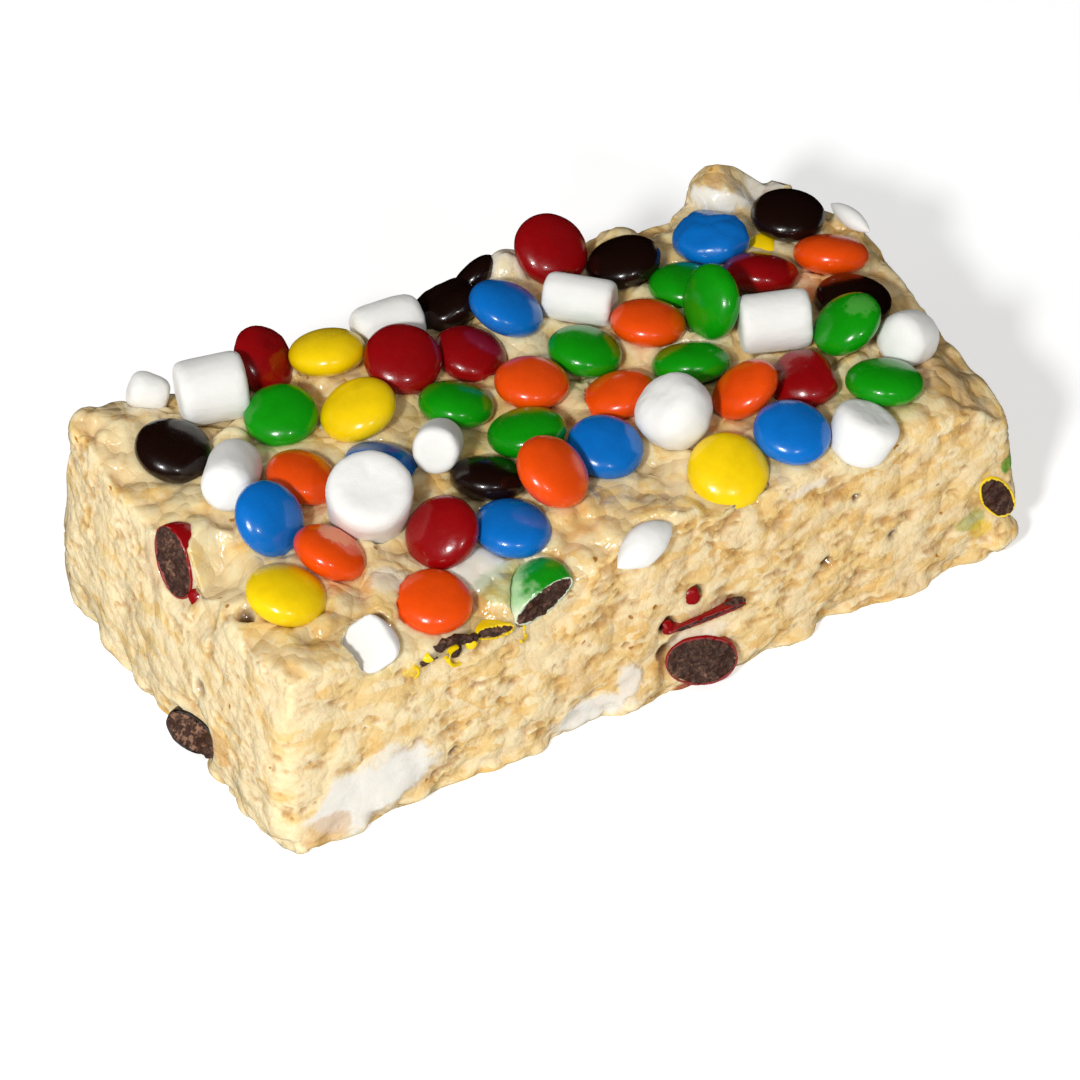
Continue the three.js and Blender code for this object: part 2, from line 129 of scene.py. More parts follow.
# ---- What a user can change ----


def length_prop(name, description, millimetres):
    return FloatProperty(
        name=name, description=description, default=millimetres * MM, min=0, unit="LENGTH", precision=5
    )


def colour_prop(name, description, default):
    return FloatVectorProperty(
        name=name, description=description, default=default, size=3, min=0, max=1, subtype="COLOR"
    )


class CrispSettings(bpy.types.PropertyGroup):
    pitch: length_prop("Mesh pitch", "Distance between points of the crisp mass", 0.63)
    kernel: length_prop("Kernel length", "Length of a crisp in a cut face", 5.0)
    layer: length_prop("Layer height", "Height of a pressed crisp in a cut face", 2.3)
    crumb: length_prop("Crumb width", "Width of a broken bit in a cut face", 1.7)
    lump: length_prop("Lump width", "Width of a coated crisp on the top", 6.0)
    bead: length_prop("Bead width", "Width of a small glossy bead on the top", 4.2)
    side_depth: length_prop("Cut depth", "How far crisps stand out of a cut face", 0.68)
    top_depth: length_prop("Lump depth", "How far coated crisps stand out of the top", 2.0)
    cream: colour_prop("Cream", "Pale crisps", linear(237, 212, 160))
    golden: colour_prop("Golden", "Toasted crisps", linear(229, 188, 118))
    toasted: colour_prop("Toasted", "Darker spots", linear(208, 154, 78))
    # Painted shade: the crevice colour darkens the deep gaps between crisps and the small dark dots, and the
    # hole colour darkens the insides of the air holes.
    crevice: colour_prop("Crevice", "Deep gaps between crisps", linear(176, 120, 48))
    hole: colour_prop("Hole", "Inside of an air hole", linear(86, 52, 22))
    milky: colour_prop("Milky", "Crisps smeared with marshmallow", linear(244, 231, 201))
    melted: colour_prop("Melted marshmallow", "White melted patches", linear(236, 232, 222))
    syrup: colour_prop("Syrup", "Tint of the glossy coat on the top", linear(255, 244, 210))


class CandySettings(bpy.types.PropertyGroup):
    red: colour_prop("Red", "Red shell", linear(138, 3, 7))
    orange: colour_prop("Orange", "Orange shell", linear(232, 74, 3))
    yellow: colour_prop("Yellow", "Yellow shell", linear(242, 204, 2))
    green: colour_prop("Green", "Green shell", linear(10, 142, 6))
    blue: colour_prop("Blue", "Blue shell", linear(3, 106, 190))
    brown: colour_prop("Brown", "Brown shell", linear(24, 9, 5))
    chocolate: colour_prop("Chocolate", "Inside of a cut candy", linear(62, 35, 24))
    dent: length_prop("Unevenness", "How far a shell strays from an even lens", 0.28)
    shell: length_prop("Shell thickness", "Thickness of the sugar shell at a cut", 0.32)
    squareness: FloatProperty(name="Squareness", description="2 is an even lens", default=2.15, min=2, max=4)


class MarshmallowSettings(bpy.types.PropertyGroup):
    white: colour_prop("White", "Dusted marshmallow", linear(233, 232, 227))
    slump: length_prop("Slump", "How far a marshmallow strays from an even barrel", 0.5)
    wrinkle: length_prop("Wrinkles", "Depth of the small folds of the skin", 0.22)


class StageSettings(bpy.types.PropertyGroup):
    floor: colour_prop("Floor", "Pale studio floor", linear(218, 218, 218))
    glow: FloatProperty(name="Floor glow", description="Light of the floor itself", default=0.5, min=0)
    key: FloatProperty(name="Key light", description="Left front light", default=25, min=0, unit="POWER")
    second: FloatProperty(name="Second light", description="Front light", default=4, min=0, unit="POWER")
    fill: FloatProperty(name="Fill light", description="Large soft light", default=4, min=0, unit="POWER")
    sky: FloatProperty(name="Sky", description="Even light from all round", default=0.25, min=0)
    lens: FloatProperty(name="Lens", description="Focal length", default=175.4, min=1, unit="CAMERA")
    distance: length_prop("Camera distance", "From the aim point to the camera", 900)
    aim: FloatVectorProperty(
        name="Aim", description="The point at the middle of the picture", size=3, subtype="TRANSLATION",
        default=(-7.73 * MM, -11.51 * MM, 20 * MM),
    )
    azimuth: FloatProperty(name="Azimuth", description="Turn round the bar, degrees", default=-29)
    elevation: FloatProperty(name="Elevation", description="Height above the floor, degrees", default=43)


class TreatSettings(bpy.types.PropertyGroup):
    crisp: PointerProperty(type=CrispSettings)
    candy: PointerProperty(type=CandySettings)
    marshmallow: PointerProperty(type=MarshmallowSettings)
    stage: PointerProperty(type=StageSettings)


def settings():
    return bpy.context.scene.treat


# ---- Node trees ----


class Tree:
    """Adds nodes to a shader or geometry tree, linking every input that is given as a socket."""

    def __init__(self, tree):
        self.tree = tree

    def add(self, kind, inputs=None, **values):
        node = self.tree.nodes.new(kind)
        for name, value in values.items():
            setattr(node, name, value)
        for key, value in (inputs or {}).items():
            socket = node.inputs[key]
            if isinstance(value, bpy.types.NodeSocket):
                self.tree.links.new(value, socket)
            else:
                socket.default_value = value
        return node

    def math(self, operation, *values, clamp=False):
        node = self.add("ShaderNodeMath", dict(enumerate(values)), operation=operation, use_clamp=clamp)
        return node.outputs[0]

    plus = partialmethod(math, "ADD")
    minus = partialmethod(math, "SUBTRACT")
    times = partialmethod(math, "MULTIPLY")
    times_plus = partialmethod(math, "MULTIPLY_ADD")
    over = partialmethod(math, "DIVIDE")
    most = partialmethod(math, "MAXIMUM")
    least = partialmethod(math, "MINIMUM")

    def vector(self, operation, *values):
        node = self.add("ShaderNodeVectorMath", dict(enumerate(values)), operation=operation)
        return node.outputs["Value" if operation in ("LENGTH", "DISTANCE", "DOT_PRODUCT") else "Vector"]

    def scaled(self, vector, factor):
        node = self.add("ShaderNodeVectorMath", {0: vector, "Scale": factor}, operation="SCALE")
        return node.outputs["Vector"]

    def span(self, value, low, high, start=0.0, end=1.0):
        """The value eased from start at low to end at high."""
        inputs = {"Value": value, 1: low, 2: high, 3: start, 4: end}
        return self.add("ShaderNodeMapRange", inputs, interpolation_type="SMOOTHSTEP").outputs[0]

    def blend(self, factor, one, other, kind="MIX"):
        """A colour from one at 0 to other at 1."""
        inputs = {0: factor, 6: one, 7: other}
        return self.add("ShaderNodeMix", inputs, data_type="RGBA", blend_type=kind).outputs[2]

    def noise(self, vector, scale, detail=3.0, roughness=0.55):
        inputs = {"Vector": vector, "Scale": scale, "Detail": detail, "Roughness": roughness}
        return self.add("ShaderNodeTexNoise", inputs).outputs

    def cloud(self, *values):
        """Noise as one value from 0 to 1."""
        return self.noise(*values)[0]

    def cells(self, vector, feature="F1", **inputs):
        node = self.add("ShaderNodeTexVoronoi", {"Vector": vector, "Scale": 1.0}, feature=feature)
        for key, value in inputs.items():
            node.inputs[key.capitalize()].default_value = value
        return node

    def split(self, vector):
        return self.add("ShaderNodeSeparateXYZ", {0: vector}).outputs


def new_group(name, kind, inputs, outputs):
    """An empty node group with these sockets, and its input and output nodes."""
    group = bpy.data.node_groups.new(name, kind)
    for direction, sockets in (("INPUT", inputs), ("OUTPUT", outputs)):
        for label, socket_type, *default in sockets:
            socket_kind = "NodeSocket" + socket_type
            socket = group.interface.new_socket(label, in_out=direction, socket_type=socket_kind)
            if default:
                socket.default_value = default[0]
    tree = Tree(group)
    return tree, tree.add("NodeGroupInput").outputs, tree.add("NodeGroupOutput").inputs


def once(name, make):
    """The node group of this name, made if it isn't there yet."""
    return bpy.data.node_groups.get(name) or make(name)


def use_group(tree, group, inputs):
    return tree.add("ShaderNodeGroup", inputs, node_tree=group).outputs


def grain_group(name):
    """Fine bumps and colour specks: a height and a tone, from a vector and a grain size."""
    tree, given, out = new_group(
        name,
        "ShaderNodeTree",
        [("Vector", "Vector"), ("Size", "Float", MM), ("Contrast", "Float", 1.0)],
        [("Height", "Float"), ("Tone", "Float")],
    )
    scale = tree.over(1.0, given["Size"])
    fine = tree.cloud(given["Vector"], scale, 4.0, 0.6)
    coarse = tree.cloud(given["Vector"], tree.times(scale, 0.23), 2.0)
    tree.tree.links.new(fine, out["Height"])
    mixed = tree.plus(tree.times(fine, 0.5), tree.times(coarse, 0.5))
    centred = tree.times_plus(tree.minus(mixed, 0.5), given["Contrast"], 0.5)
    tree.tree.links.new(tree.most(centred, 0.0), out["Tone"])
    return tree.tree


def mottle_group(name):
    """A colour that is a little lighter and darker from place to place."""
    tree, given, out = new_group(
        name,
        "ShaderNodeTree",
        [("Vector", "Vector"), ("Colour", "Color"), ("Size", "Float", 3 * MM), ("Amount", "Float", 0.1)],
        [("Colour", "Color")],
    )
    scale = tree.over(1.0, given["Size"])
    tone = tree.cloud(given["Vector"], scale, 3.0)
    light = tree.times_plus(tree.minus(tone, 0.5), given["Amount"], 1.0)
    grey = tree.add("ShaderNodeCombineColor", {0: light, 1: light, 2: light}).outputs[0]
    tree.tree.links.new(tree.blend(1.0, given["Colour"], grey, "MULTIPLY"), out["Colour"])
    return tree.tree


def patch_group(name):
    """A ragged patch round a point: 1 inside and 0 outside."""
    tree, given, out = new_group(
        name,
        "ShaderNodeTree",
        [("Vector", "Vector"), ("Centre", "Vector"), ("Radius", "Float", 3 * MM), ("Ragged", "Float", 0.5)],
        [("Mask", "Float")],
    )
    away = tree.over(tree.vector("DISTANCE", given["Vector"], given["Centre"]), given["Radius"])
    edge = tree.cloud(given["Vector"], 900.0, 4.0)
    stray = tree.times(tree.minus(edge, 0.5), given["Ragged"])
    mask = tree.span(tree.plus(away, stray), 1.1, 0.75)
    tree.tree.links.new(mask, out["Mask"])
    return tree.tree


class Finish:
    """A material whose Principled shader is fed by procedural nodes on object coordinates."""

    def __init__(self, name, **constants):
        self.material = bpy.data.materials.new(name)
        self.material.use_nodes = True
        self.nodes = Tree(self.material.node_tree)
        self.shader = self.material.node_tree.nodes["Principled BSDF"]
        for key, value in constants.items():
            self.shader.inputs[key.replace("_", " ")].default_value = value
        self.place = self.nodes.add("ShaderNodeTexCoord").outputs["Object"]

    def feed(self, socket, value):
        self.material.node_tree.links.new(value, self.shader.inputs[socket])

    def attribute(self, name):
        return self.nodes.add("ShaderNodeAttribute", attribute_name=name).outputs["Fac"]

    def bump(self, height, distance, strength=1.0, under=None):
        inputs = {"Height": height, "Distance": distance, "Strength": strength}
        if under is not None:
            inputs["Normal"] = under
        return self.nodes.add("ShaderNodeBump", inputs).outputs["Normal"]

    def grain(self, size, contrast=1.0):
        group = once("Grain", grain_group)
        return use_group(self.nodes, group, {"Vector": self.place, "Size": size, "Contrast": contrast})

    def mottled(self, colour, size, amount):
        group = once("Mottle", mottle_group)
        inputs = {"Vector": self.place, "Colour": colour, "Size": size, "Amount": amount}
        return use_group(self.nodes, group, inputs)[0]

    def patch(self, centre, radius, ragged=0.5):
        group = once("Patch", patch_group)
        inputs = {"Vector": self.place, "Centre": centre, "Radius": radius, "Ragged": ragged}
        return use_group(self.nodes, group, inputs)[0]


# ---- Modelling helpers ----


def deselect():
    bpy.ops.object.select_all(action="DESELECT")


def activate(piece):
    deselect()
    bpy.context.view_layer.objects.active = piece
    piece.select_set(True)


def apply_modifiers(piece):
    activate(piece)
    for modifier in list(piece.modifiers):
        bpy.ops.object.modifier_apply(modifier=modifier.name)


def select_faces(piece, wanted):
    """In edit mode, selects exactly the faces for which wanted(face) holds."""
    bpy.ops.mesh.select_mode(type="FACE")
    mesh = bmesh.from_edit_mesh(piece.data)
    for face in mesh.faces:
        face.select_set(wanted(face))
    bmesh.update_edit_mesh(piece.data)


def copy_of(piece, name):
    twin = piece.copy()
    twin.data = piece.data.copy()
    twin.name = name
    bpy.context.scene.collection.objects.link(twin)
    return twin


def compass(toward, rise):
    """The unit vector toward a compass direction and height, both in degrees. 0 is +X, 90 is +Y."""
    toward, rise = math.radians(toward), math.radians(rise)
    return Vector((math.cos(toward) * math.cos(rise), math.sin(toward) * math.cos(rise), math.sin(rise)))


def placed(centre, lean, toward):
    """The move that takes an upright shape at the origin to a middle in millimetres and a lean."""
    turn = Vector((0, 0, 1)).rotation_difference(compass(toward, 90 - lean))
    return Matrix.Translation(metres(centre)) @ turn.to_matrix().to_4x4()


def displace(piece, name, size, strength, group=""):
    """Pushes the surface in and out by a cloudy texture, and applies it."""
    texture = bpy.data.textures.new(name, "CLOUDS")
    texture.noise_scale = size
    push = piece.modifiers.new(name, "DISPLACE")
    push.texture = texture
    push.texture_coords = "LOCAL"
    push.strength = strength
    push.mid_level = 0.5
    push.vertex_group = group
    apply_modifiers(piece)
    bpy.data.textures.remove(texture)


def even_mesh(piece, pitch, smoothing=0):
    """Rebuilds a closed shape with points that are about a pitch apart, its edges softened."""
    remesh = piece.modifiers.new("even mesh", "REMESH")
    remesh.mode = "VOXEL"
    remesh.voxel_size = pitch
    if smoothing:
        soften = piece.modifiers.new("soften", "SMOOTH")
        soften.factor = 0.5
        soften.iterations = smoothing
    apply_modifiers(piece)


def trim(piece, point, outward, fill=True):
    """Cuts away what lies beyond a plane. The piece is left in edit mode, the new face selected."""
    if piece.mode == "OBJECT":
        activate(piece)
        bpy.ops.object.mode_set(mode="EDIT")
    bpy.ops.mesh.select_all(action="SELECT")
    bpy.ops.mesh.bisect(plane_co=point, plane_no=outward, use_fill=fill, clear_outer=True)


def inside_box(piece):
    """Keeps every point of a piece inside the box of the solids."""
    low, high = (np.array(corner, np.float32) for corner in CAD_BOX)
    points = np.empty(3 * len(piece.data.vertices), np.float32)
    piece.data.vertices.foreach_get("co", points)
    piece.data.vertices.foreach_set("co", np.clip(points.reshape(-1, 3), low, high).ravel())
    piece.data.update()


def finished(piece, materials, stands_for=(), angle=None):
    """Keeps a piece inside the box of the solids, gives it smooth shading, its materials and its ride, and
    hides the solids that it stands for.
    """
    inside_box(piece)
    activate(piece)
    if angle is None:
        bpy.ops.object.shade_smooth()
    else:
        bpy.ops.object.shade_smooth_by_angle(angle=math.radians(angle))
    for material in materials:
        piece.data.materials.append(material)
    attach(piece, BODY)
    if stands_for:
        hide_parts(*stands_for)
    return piece


class Seat:
    """Where a barrel or lens shaped solid of the frame lies: its middle, axis, half length, radius
    and taper, all read from the solid's two poles and the rings between them."""

    def __init__(self, name):
        mesh = bmesh.new()
        mesh.from_mesh(frame["nodes"][name].data)
        bmesh.ops.remove_doubles(mesh, verts=mesh.verts, dist=WELD)
        ranked = sorted(mesh.verts, key=lambda vertex: -len(vertex.link_edges))
        low, high = (vertex.co.copy() for vertex in ranked[:2])
        if high.z < low.z:
            low, high = high, low
        self.centre = (low + high) / 2
        self.half = (high - low).length / 2
        self.axis = (high - low).normalized()
        self.turn = Vector((0, 0, 1)).rotation_difference(self.axis)
        back = self.turn.inverted()
        self.ring = [back @ (vertex.co - self.centre) for vertex in ranked[2:]]
        mesh.free()
        self.radius = max(Vector((p.x, p.y)).length for p in self.ring)
        upper = max(Vector((p.x, p.y)).length for p in self.ring if p.z > 0.1 * self.half)
        lower = max(Vector((p.x, p.y)).length for p in self.ring if p.z < -0.1 * self.half)
        self.taper = (upper - lower) / (upper + lower)

    def turn_to(self, lean, toward):
        """Turns a barrel that is about as long as it is wide to another axis."""
        self.turn = Vector((0, 0, 1)).rotation_difference(compass(toward, 90 - lean))

    def matrix(self):
        size = Matrix.Diagonal((self.radius, self.radius, self.half, 1))
        return Matrix.Translation(self.centre) @ self.turn.to_matrix().to_4x4() @ size

    def pressed(self):
        """The direction and share of the radius of a pressed side, or None."""
        rim = [Vector((p.x, p.y)) for p in self.ring if abs(p.z) < 0.2 * self.half]
        short = [p for p in rim if p.length < 0.93 * self.radius]
        if not short:
            return None
        way = sum((p.normalized() for p in short), Vector((0, 0))).normalized()
        return way, max(p.dot(way) for p in rim) / self.radius


def squared(piece, squareness):
    """Turns a unit sphere's outline into a rounded box: more squareness gives fuller shoulders."""
    power = 2 / squareness
    for vertex in piece.data.vertices:
        x, y, z = vertex.co
        across = math.hypot(x, y)
        if across > WELD:
            fuller = (across**power) / across
            vertex.co = (x * fuller, y * fuller, math.copysign(abs(z) ** power, z))


def pointed(piece):
    """Draws both ends of a unit sphere out to points, keeping it round across."""
    for vertex in piece.data.vertices:
        x, y, z = vertex.co
        across = math.hypot(x, y)
        if across > WELD:
            narrower = (1 - abs(z) ** 2.1) ** 0.9 / across
            vertex.co = (x * narrower, y * narrower, z)


def blank(name, squareness, segments=48, rings=24):
    """A unit sphere with its outline squared, ready to be copied and placed."""
    deselect()
    bpy.ops.mesh.primitive_uv_sphere_add(segments=segments, ring_count=rings, radius=1)
    piece = bpy.context.object
    piece.name = name
    if squareness:
        squared(piece, squareness)
    else:
        pointed(piece)
    return piece


# How far inside its flat a pressed side starts to bend, and how much of the roundness it keeps.
PRESS_START = 0.06
PRESS_KEPT = 0.1


def press_side(piece, way, share):
    """Presses one side of a unit lens softly against a neighbour."""
    for vertex in piece.data.vertices:
        reach = vertex.co.x * way.x + vertex.co.y * way.y
        over = reach - (share - PRESS_START)
        if over > 0:
            kept = PRESS_KEPT * over / (1 - share + PRESS_START)
            vertex.co.x -= way.x * (over - kept)
            vertex.co.y -= way.y * (over - kept)


# ---- Finishes ----


def shell_finish(name, colour_name, scuff=None):
    """Polished sugar shell: even colour with a faint mottle, tiny pits, a waxed gloss and, if asked
    for, one pale rubbed patch given by its middle, radius, colour and strength."""
    finish = Finish(name, Coat_Weight=0.3, Coat_Roughness=0.05, IOR=1.42)
    tree = finish.nodes
    colour = finish.mottled(solid(getattr(settings().candy, colour_name)), 2.8 * MM, 0.3)
    fine = finish.grain(0.9 * MM)
    rough = tree.span(fine["Tone"], 0.2, 0.8, 0.2, 0.32)
    if scuff:
        centre, radius, pale, amount = scuff
        mask = tree.times(finish.patch(centre, radius, 1.3), amount)
        colour = tree.blend(mask, colour, solid(pale))
        rough = tree.times_plus(mask, 0.25, rough)
    finish.feed("Base Color", colour)
    finish.feed("Roughness", rough)
    normal = finish.bump(finish.grain(4.5 * MM)["Height"], 0.22 * MM, 0.55)
    finish.feed("Normal", finish.bump(fine["Height"], 0.03 * MM, 0.6, normal))
    return finish.material


def melting_finish(name, colour_name, middle, half):
    """A sugar shell going off into milky marshmallow outside a clear patch."""
    finish = Finish(
        name, Coat_Weight=0.8, Coat_Roughness=0.12, Subsurface_Weight=0.25, Subsurface_Scale=MM
    )
    tree = finish.nodes
    away = tree.vector("DIVIDE", tree.vector("SUBTRACT", finish.place, middle), half)
    stray = tree.minus(tree.cloud(finish.place, 450.0, 3.0), 0.5)
    share = tree.plus(tree.vector("LENGTH", away), stray)
    shell = solid(getattr(settings().candy, colour_name))
    milky = solid(linear(176, 214, 160))
    clear = tree.blend(tree.span(share, 0.7, 1.2), shell, milky)
    white = tree.blend(tree.span(share, 1.2, 1.9), clear, solid(linear(226, 228, 210)))
    finish.feed("Base Color", finish.mottled(white, 2.2 * MM, 0.3))
    fine = finish.grain(1.2 * MM, 1.4)
    finish.feed("Roughness", tree.span(fine["Tone"], 0.2, 0.8, 0.25, 0.5))
    finish.feed("Normal", finish.bump(fine["Height"], 0.2 * MM, 0.7))
    return finish.material


def rim_finish(name, colour, tint):
    """The broken edge of a sugar shell, paler than its outside."""
    finish = Finish(name, Roughness=0.5, Subsurface_Weight=0.15, Subsurface_Scale=0.6 * MM)
    pale = finish.nodes.blend(tint, solid(linear(236, 230, 218)), solid(colour))
    finish.feed("Base Color", finish.mottled(pale, 0.9 * MM, 0.8))
    finish.feed("Normal", finish.bump(finish.grain(0.5 * MM)["Height"], 0.1 * MM, 0.7))
    return finish.material


def chocolate_finish(name, bloom):
    """Broken chocolate: dark, dull and crumbly, with paler grains and rings of bloom."""
    finish = Finish(name, IOR=1.48)
    tree = finish.nodes
    dark = solid(settings().candy.chocolate)
    pale = solid(linear(156, 114, 88))
    fine = finish.grain(0.45 * MM, 1.8)
    coarse = finish.grain(1.4 * MM, 2.0)
    grains = tree.times(tree.span(fine["Tone"], 0.5, 0.72), tree.span(coarse["Tone"], 0.35, 0.7))
    rings = tree.span(tree.cloud(finish.place, 900.0, 2.0), 0.5, 0.62)
    paler = tree.plus(tree.times(grains, 0.7), tree.times(rings, bloom), clamp=True)
    finish.feed("Base Color", tree.blend(paler, finish.mottled(dark, 1.2 * MM, 1.1), pale))
    finish.feed("Roughness", tree.span(coarse["Tone"], 0.3, 0.7, 0.36, 0.66))
    finish.feed("Normal", finish.bump(fine["Height"], 0.4 * MM, 1.0))
    return finish.material


def marshmallow_finish():
    """Dusted marshmallow skin: matt white, a little translucent, with fine wrinkles."""
    finish = Finish(
        "dusted marshmallow", Subsurface_Weight=0.25, Subsurface_Scale=1.5 * MM,
        Subsurface_Radius=(1.0, 0.9, 0.8), IOR=1.4,
    )
    tree = finish.nodes
    dust = finish.grain(0.5 * MM)
    finish.feed("Base Color", finish.mottled(solid(settings().marshmallow.white), 4 * MM, 0.08))
    folds = tree.cloud(tree.vector("MULTIPLY", finish.place, (1.0, 1.0, 2.2)), 300.0, 3.0)
    normal = finish.bump(folds, 0.5 * MM, 0.3)
    finish.feed("Normal", finish.bump(dust["Height"], 0.08 * MM, 0.5, normal))
    finish.feed("Roughness", tree.span(dust["Tone"], 0.2, 0.8, 0.6, 0.85))
    return finish.material


# Patches of melted marshmallow in the mass, in millimetres: middle, half sizes and strength.
MELTED = (
    ((-58.5, -40.5, 8), (9, 5, 7), 1),
    ((-50, -40, 9.5), (7, 5, 5), 1),
    ((-52, -40, 14.5), (4, 4, 2.5), 0.7),
    ((-12.5, -38.5, 4), (7.5, 5, 3.6), 1),
    ((-5.5, -38.5, 8.5), (2.4, 4, 4), 0.9),
    ((31.3, -35.5, 33), (4.5, 3, 1), 0.6),
    ((50.5, 31, 39.5), (5.5, 6, 2.6), 0.95),
    ((58.5, 31, 39.5), (3.5, 4, 2.2), 0.8),
    ((64, 33.5, 39.5), (3, 3, 3.5), 0.8),
    ((11, 36.5, 39), (5, 5, 4.5), 0.6),
    ((-30, 13.5, 36.5), (5, 6, 3), 0.85),
    ((-28, -26.5, 35), (5.5, 4, 3), 0.8),
    ((-44, -24, 36), (4, 3, 3), 0.5),
    ((9, -37, 11), (6, 4, 2), 0.55),
)

# Stains on the mass, and one patch of painted shade: the colour, the middle and half sizes in millimetres,
# and the strength.
STAINS = (
    ("green", (-25.5, -31, 34), (4.5, 4, 4), 0.3),
    ("green", (64.5, -36, 11.5), (3.5, 4, 2), 0.4),
    ("green", (72.5, -33.5, 19.8), (1.6, 2.5, 2), 0.8),
    ("yellow", (66.5, -36, 9), (2.5, 3, 2), 0.5),
    ("red", (-72, 4, 31.5), (3, 4, 6), 0.2),
    ("red", (9.5, -37.5, 17), (8, 3, 1.4), 0.25),
    ("red", (7.4, -38.8, 1.6), (4.5, 3, 1.7), 0.85),
    ("red", (63.2, 32.4, 38), (1.7, 1.7, 1.2), 0.35),
    ("yellow", (-46.2, -38, 29.4), (1.8, 2, 1.3), 0.6),
    ("chocolate", (-36, -37, 30.6), (9, 2.5, 1.3), 0.45),
    ("toasted", (1, -39, 9.5), (2.6, 4, 4.5), 0.6),
    ("toasted", (-64.5, -41, 4), (5, 4, 3.5), 0.45),
    ("toasted", (-15, -38.5, 14), (5, 3, 4), 0.35),
    ("toasted", (-74, -21.5, 10.5), (3, 2.5, 3.5), 0.6),
    ("toasted", (55, 35, 42.3), (3.5, 3, 1.6), 0.4),
    ("toasted", (66, -17, 36), (9, 18, 6), 0.45),
    # Painted shade: this faint wash darkens the right part of the front face, where the key light falls off.
    ("toasted", (28, -37, 18), (52, 7, 24), 0.1),
)

# Where the mass is pressed or broken flat: a point and reach in millimetres, and the compass
# direction and height that the flat looks toward.
FLATS = (
    ((19.8, -31.0, 35.9), 9.5, (-100, 80)),
    ((-69.0, -2.2, 36.0), 7.5, (-78, 42)),
    ((52.5, 33.0, 41.6), 6.0, (-150, 72)),
    ((57.0, 34.0, 41.0), 6.0, (-30, 55)),
    ((49.9, 35.0, 40.0), 4.0, (-175, 15)),
    ((63.3, 32.5, 37.4), 4.5, (-110, 70)),
    ((56.0, 39.5, 41.1), 6.0, (60, 45)),
    ((61.0, 38.0, 39.0), 6.0, (14, 44)),
    ((65.5, 34.5, 37.4), 3.5, (30, 50)),
    ((-70.2, -7.5, 33.0), 7.0, (-170, 18)),
)

# Where crisps lie against a cut candy that the solids leave free: middle and half sizes, in
# millimetres.
FILLS = (((10.5, -33.6, 8.0), (8.0, 4.2, 6.5)),)

# Air holes, in millimetres: middle and radius. They are pressed into the mass and painted dark inside:
# painted shade.
HOLES = (
    ((34.7, -37.2, 16), 1.1),
    ((48.2, -36.6, 16.2), 0.9),
    ((41.2, -35.2, 26.8), 0.8),
    ((-39.6, -40.2, 9.2), 1.0),
    ((-74.2, -14, 18.3), 1.3),
    ((-74.6, -12.7, 14.8), 0.9),
    ((-48.2, -30.6, 36.6), 1.2),
    ((-67.2, -19, 36.6), 1.4),
    ((8.3, -37.5, 21.2), 1.5),
    ((2.5, -38.0, 16.8), 1.5),
    ((1.8, -38.6, 11.5), 1.6),
)


# The surface pattern of the crisps: the size of a flake, of a grain of grit and the space between
# the dark dots of painted shade that stand for tiny air holes.
FLAKE = (3 * MM, 3 * MM, 1.8 * MM)
GRIT = 1.3 * MM
HOLE_SHADE_SPACING = 4.5 * MM


